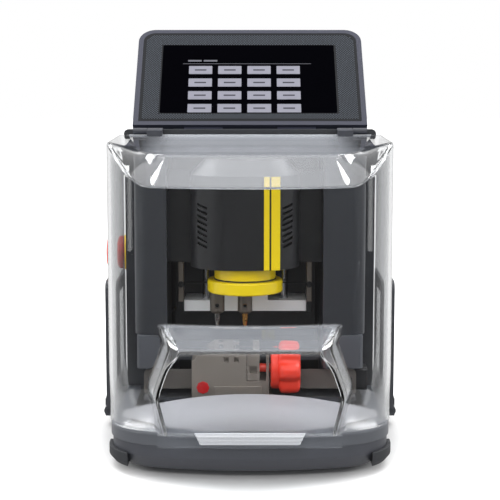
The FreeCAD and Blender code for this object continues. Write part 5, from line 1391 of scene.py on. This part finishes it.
class KEYMACHINE_OT_controls(Operator):
    """Rear panel, inlet, power switch and stop button"""

    bl_idname = "keymachine.controls"
    bl_label = "Controls"

    def execute(self, context):
        look = context.scene.keymachine_controls
        panel = finish("panel_paint", look.panel, 0.5, grain=380, depth=0.6, mottle=0.08)
        dress("rear_panel", panel, bevel=0.5 * MM)
        plastic = finish("black_plastic", look.plastic, 0.38, grain=1000, depth=0.2, mottle=0.06)
        for node in ("power_inlet", "switch_frame", "power_rocker"):
            dress(node, plastic, bevel=0.5 * MM)
        collar = finish("collar_yellow", look.collar, 0.35, grain=1300, depth=0.1, mottle=0.03)
        dress("estop_collar", collar, bevel=0.8 * MM, segments=3)
        knob = context.scene.keymachine_clamp
        red = finish("stop_red", knob.red, 0.32, grain=1300, depth=0.08, mottle=0.03, coat=0.3)
        dress("estop_button", red, bevel=1.6 * MM, segments=4)
        self.screws(look)
        self.rocker_mark(look)
        return {"FINISHED"}

    def screws(self, look):
        """Screws round the rear panel and beside the inlet."""
        bright = finish("panel_screw_steel", look.screw, 0.3, metal=1, **POLISHED)
        dark = finish("panel_socket_painted_shade", look.socket, 0.5, **POLISHED)
        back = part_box("rear_panel")[1].y + look.screw_out
        spots = [(x, back, z) for x in (-look.screw_x, 0, look.screw_x)
                 for z in (look.screw_low, look.screw_high)]
        spots += [(x, back, look.screw_middle) for x in (-look.screw_x, look.screw_x)]
        socket_screws("panel", spots, PANEL_SCREW, ALONG_Y, (bright, dark), "base")
        low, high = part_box("power_inlet")
        middle = (low + high) / 2
        beside = [(middle.x + x, high.y - look.inlet_screw_sink, middle.z)
                  for x in (-look.inlet_screw_x, look.inlet_screw_x)]
        studs("inlet_screws", beside, INLET_SCREW_RADIUS, INLET_SCREW_HEIGHT, 20, ALONG_Y, bright,
              "base")

    def rocker_mark(self, look):
        """Plain bar on the rocker's upper half."""
        low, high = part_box("power_rocker")
        place = Matrix.Translation(((low.x + high.x) / 2, high.y - look.mark_sink, look.mark_height))
        place = place @ Matrix.Rotation(-look.rocker_lean - math.pi / 2, 4, "X")
        mark = finish("rocker_mark", look.mark, 0.5, grain=900, depth=0.05)
        pads("rocker_mark", (look.mark_wide, look.mark_tall), look.mark_round, look.mark_rise, place, mark,
             "rocker", "black_plastic")


# Stage
Lamp = namedtuple("Lamp", "name place size power aim along")
ACROSS = (1, 0, 0)
CAMERA_REACH = 50
SHADOW_SQUASH = (1.4, 1, 1)
MIRROR_DEPTHS = (-0.5, 0.3)
MIRROR_LEVELS = (0.1, 0.9)
FLOOR_ROUGHNESS = 0.9
WHITE = (1, 1, 1, 1)


def lamp_list(look):
    """Soft lamps above and in front, and a strip, a rim and a glint lamp on each side."""
    lamps = [Lamp("top_lamp", place=(0, -0.05, 1.6), size=(1.3, 0.9), power=look.top_power, aim=(0, 0, 0.1),
                  along=ACROSS),
             Lamp("front_lamp", place=(0, -1.6, 1.3), size=(1.4, 0.6), power=look.front_power,
                  aim=(0, 0, 0.15), along=ACROSS)]
    for side, name in ((-1, "left"), (1, "right")):
        lamps += [Lamp(name + "_lamp", place=(1.4 * side, -0.7, 0.35), size=(0.3, 2.0),
                       power=look.strip_power, aim=(0, 0, 0.35), along=ACROSS),
                  Lamp(name + "_rim_lamp", place=(0.68 * side, 0.42, 1.16), size=(0.66, 0.24),
                       power=look.rim_power, aim=(0, -0.1, 0.15), along=(0.42 * side, 0.1, -0.3)),
                  Lamp(name + "_glint_lamp", place=(0.66 * side, 0.21, 1.5), size=(0.06, 0.4),
                       power=look.glint_power, aim=(0, -0.1, 0.2), along=(0.31, -0.66 * side, 0))]
    return lamps


class KEYMACHINE_OT_stage(Operator):
    """White floor, soft lamps, sky and camera"""

    bl_idname = "keymachine.stage"
    bl_label = "Stage"

    def execute(self, context):
        look = context.scene.keymachine_stage
        context.scene.view_settings.view_transform = "Standard"
        self.floor(look)
        self.sky(context.scene, look)
        for lamp in lamp_list(look):
            self.hang(lamp)
        self.camera(context.scene, look)
        return {"FINISHED"}

    def hang(self, lamp):
        """Area lamp that faces its aim, with its width along a given direction."""
        light = bpy.data.lights.new(lamp.name, "AREA")
        light.shape = "RECTANGLE"
        light.size, light.size_y = lamp.size
        light.energy = lamp.power
        holder = loose_object(lamp.name, light)
        holder.location = lamp.place
        back = (Vector(lamp.place) - Vector(lamp.aim)).normalized()
        along = Vector(lamp.along)
        across = (along - back * back.dot(along)).normalized()
        holder.rotation_euler = Matrix((across, back.cross(across), back)).transposed().to_euler()

    def camera(self, scene, look):
        """Camera in front of the machine, a little above level."""
        camera = bpy.data.cameras.new("camera")
        camera.lens = look.lens
        camera.sensor_width = look.sensor
        camera.clip_end = CAMERA_REACH
        holder = loose_object("camera", camera)
        holder.location = (0, -look.distance * math.cos(look.elevation),
                           look.aim + look.distance * math.sin(look.elevation))
        holder.rotation_euler = (math.pi / 2 - look.elevation, 0, 0)
        scene.camera = holder

    def floor(self, look):
        """Flat white floor under the machine."""
        half = look.floor_half
        mesh = bpy.data.meshes.new("floor")
        corners = [(-half, -half, 0), (half, -half, 0), (half, half, 0), (-half, half, 0)]
        mesh.from_pydata(corners, [], [(0, 1, 2, 3)])
        mesh.materials.append(self.floor_white(look))
        loose_object("floor", mesh)

    def floor_white(self, look):
        """Shadow near the machine, even white further off, a darker front in reflections."""
        material, nodes, links, shader = new_surface("floor_white")
        shader.inputs["Base Color"].default_value = (*[look.floor_tone] * 3, 1)
        shader.inputs["Roughness"].default_value = FLOOR_ROUGHNESS
        shader.inputs["Specular IOR Level"].default_value = 0
        rays = nodes.new("ShaderNodeLightPath").outputs
        seen = combine(nodes, links, "MAXIMUM", rays["Is Camera Ray"], rays["Is Transmission Ray"])
        glow = nodes.new("ShaderNodeEmission")
        white = combine(nodes, links, "MULTIPLY", seen, self.off_shadow(nodes, links, look))
        links.new(white, glow.inputs["Strength"])
        lit = nodes.new("ShaderNodeAddShader")
        links.new(shader.outputs["BSDF"], lit.inputs[0])
        links.new(glow.outputs["Emission"], lit.inputs[1])
        mirror = nodes.new("ShaderNodeEmission")
        links.new(self.mirror_level(nodes, links), mirror.inputs["Strength"])
        surface = mix_shaders(nodes, links, rays["Is Glossy Ray"], lit.outputs["Shader"],
                              mirror.outputs["Emission"])
        links.new(surface, nodes["Material Output"].inputs["Surface"])
        return material

    def off_shadow(self, nodes, links, look):
        """Nothing under the machine and 1 where its shadow has ended, in an oval."""
        place = nodes.new("ShaderNodeTexCoord")
        squash = nodes.new("ShaderNodeMapping")
        squash.inputs["Scale"].default_value = SHADOW_SQUASH
        radius = nodes.new("ShaderNodeVectorMath")
        radius.operation = "LENGTH"
        links.new(place.outputs["Object"], squash.inputs["Vector"])
        links.new(squash.outputs["Vector"], radius.inputs[0])
        return ramp(nodes, links, radius.outputs["Value"], look.shadow_near, look.shadow_far, 0.0, 1.0)

    def mirror_level(self, nodes, links):
        """Brightness of the floor in reflections, which rises from the front to the back."""
        place = nodes.new("ShaderNodeTexCoord")
        split = nodes.new("ShaderNodeSeparateXYZ")
        links.new(place.outputs["Object"], split.inputs["Vector"])
        return ramp(nodes, links, split.outputs["Y"], *MIRROR_DEPTHS, *MIRROR_LEVELS)

    def sky(self, scene, look):
        """White where it is seen, mirrored or looked through at, and dimmer where it lights the machine."""
        world = bpy.data.worlds.new("sky")
        scene.world = world
        world.use_nodes = True
        nodes, links = world.node_tree.nodes, world.node_tree.links
        dim = nodes["Background"]
        white = nodes.new("ShaderNodeBackground")
        for background, strength in ((dim, look.ambient), (white, 1)):
            background.inputs["Color"].default_value = WHITE
            background.inputs["Strength"].default_value = strength
        rays = nodes.new("ShaderNodeLightPath").outputs
        seen = combine(nodes, links, "MAXIMUM", rays["Is Camera Ray"], rays["Is Glossy Ray"])
        seen = combine(nodes, links, "MAXIMUM", seen, rays["Is Transmission Ray"])
        surface = mix_shaders(nodes, links, seen, dim.outputs["Background"], white.outputs["Background"])
        links.new(surface, nodes["World Output"].inputs["Surface"])


OPERATORS = (KEYMACHINE_OT_casing, KEYMACHINE_OT_cover, KEYMACHINE_OT_head, KEYMACHINE_OT_clamp,
             KEYMACHINE_OT_screen, KEYMACHINE_OT_controls, KEYMACHINE_OT_stage)
SETTINGS = {"keymachine_casing": CasingSettings, "keymachine_cover": CoverSettings,
            "keymachine_head": HeadSettings, "keymachine_clamp": ClampSettings,
            "keymachine_screen": ScreenSettings, "keymachine_controls": ControlSettings,
            "keymachine_stage": StageSettings}


class KEYMACHINE_PT_panel(Panel):
    """Lists the pieces of the machine"""

    bl_label = "Key Machine"
    bl_idname = "KEYMACHINE_PT_panel"
    bl_space_type = "VIEW_3D"
    bl_region_type = "UI"
    bl_category = "Key Machine"

    def draw(self, context):
        for operator in OPERATORS:
            self.layout.operator(operator.bl_idname)


def register():
    for name, group in SETTINGS.items():
        bpy.utils.register_class(group)
        setattr(bpy.types.Scene, name, PointerProperty(type=group))
    for item in (*OPERATORS, KEYMACHINE_PT_panel):
        bpy.utils.register_class(item)


def unregister():
    for item in (KEYMACHINE_PT_panel, *reversed(OPERATORS)):
        bpy.utils.unregister_class(item)
    for name, group in SETTINGS.items():
        delattr(bpy.types.Scene, name)
        bpy.utils.unregister_class(group)


def main():
    register()
    bpy.ops.keymachine.casing()
    bpy.ops.keymachine.cover()
    bpy.ops.keymachine.head()
    bpy.ops.keymachine.clamp()
    bpy.ops.keymachine.screen()
    bpy.ops.keymachine.controls()
    bpy.ops.keymachine.stage()


if __name__ == "__main__":
    main()
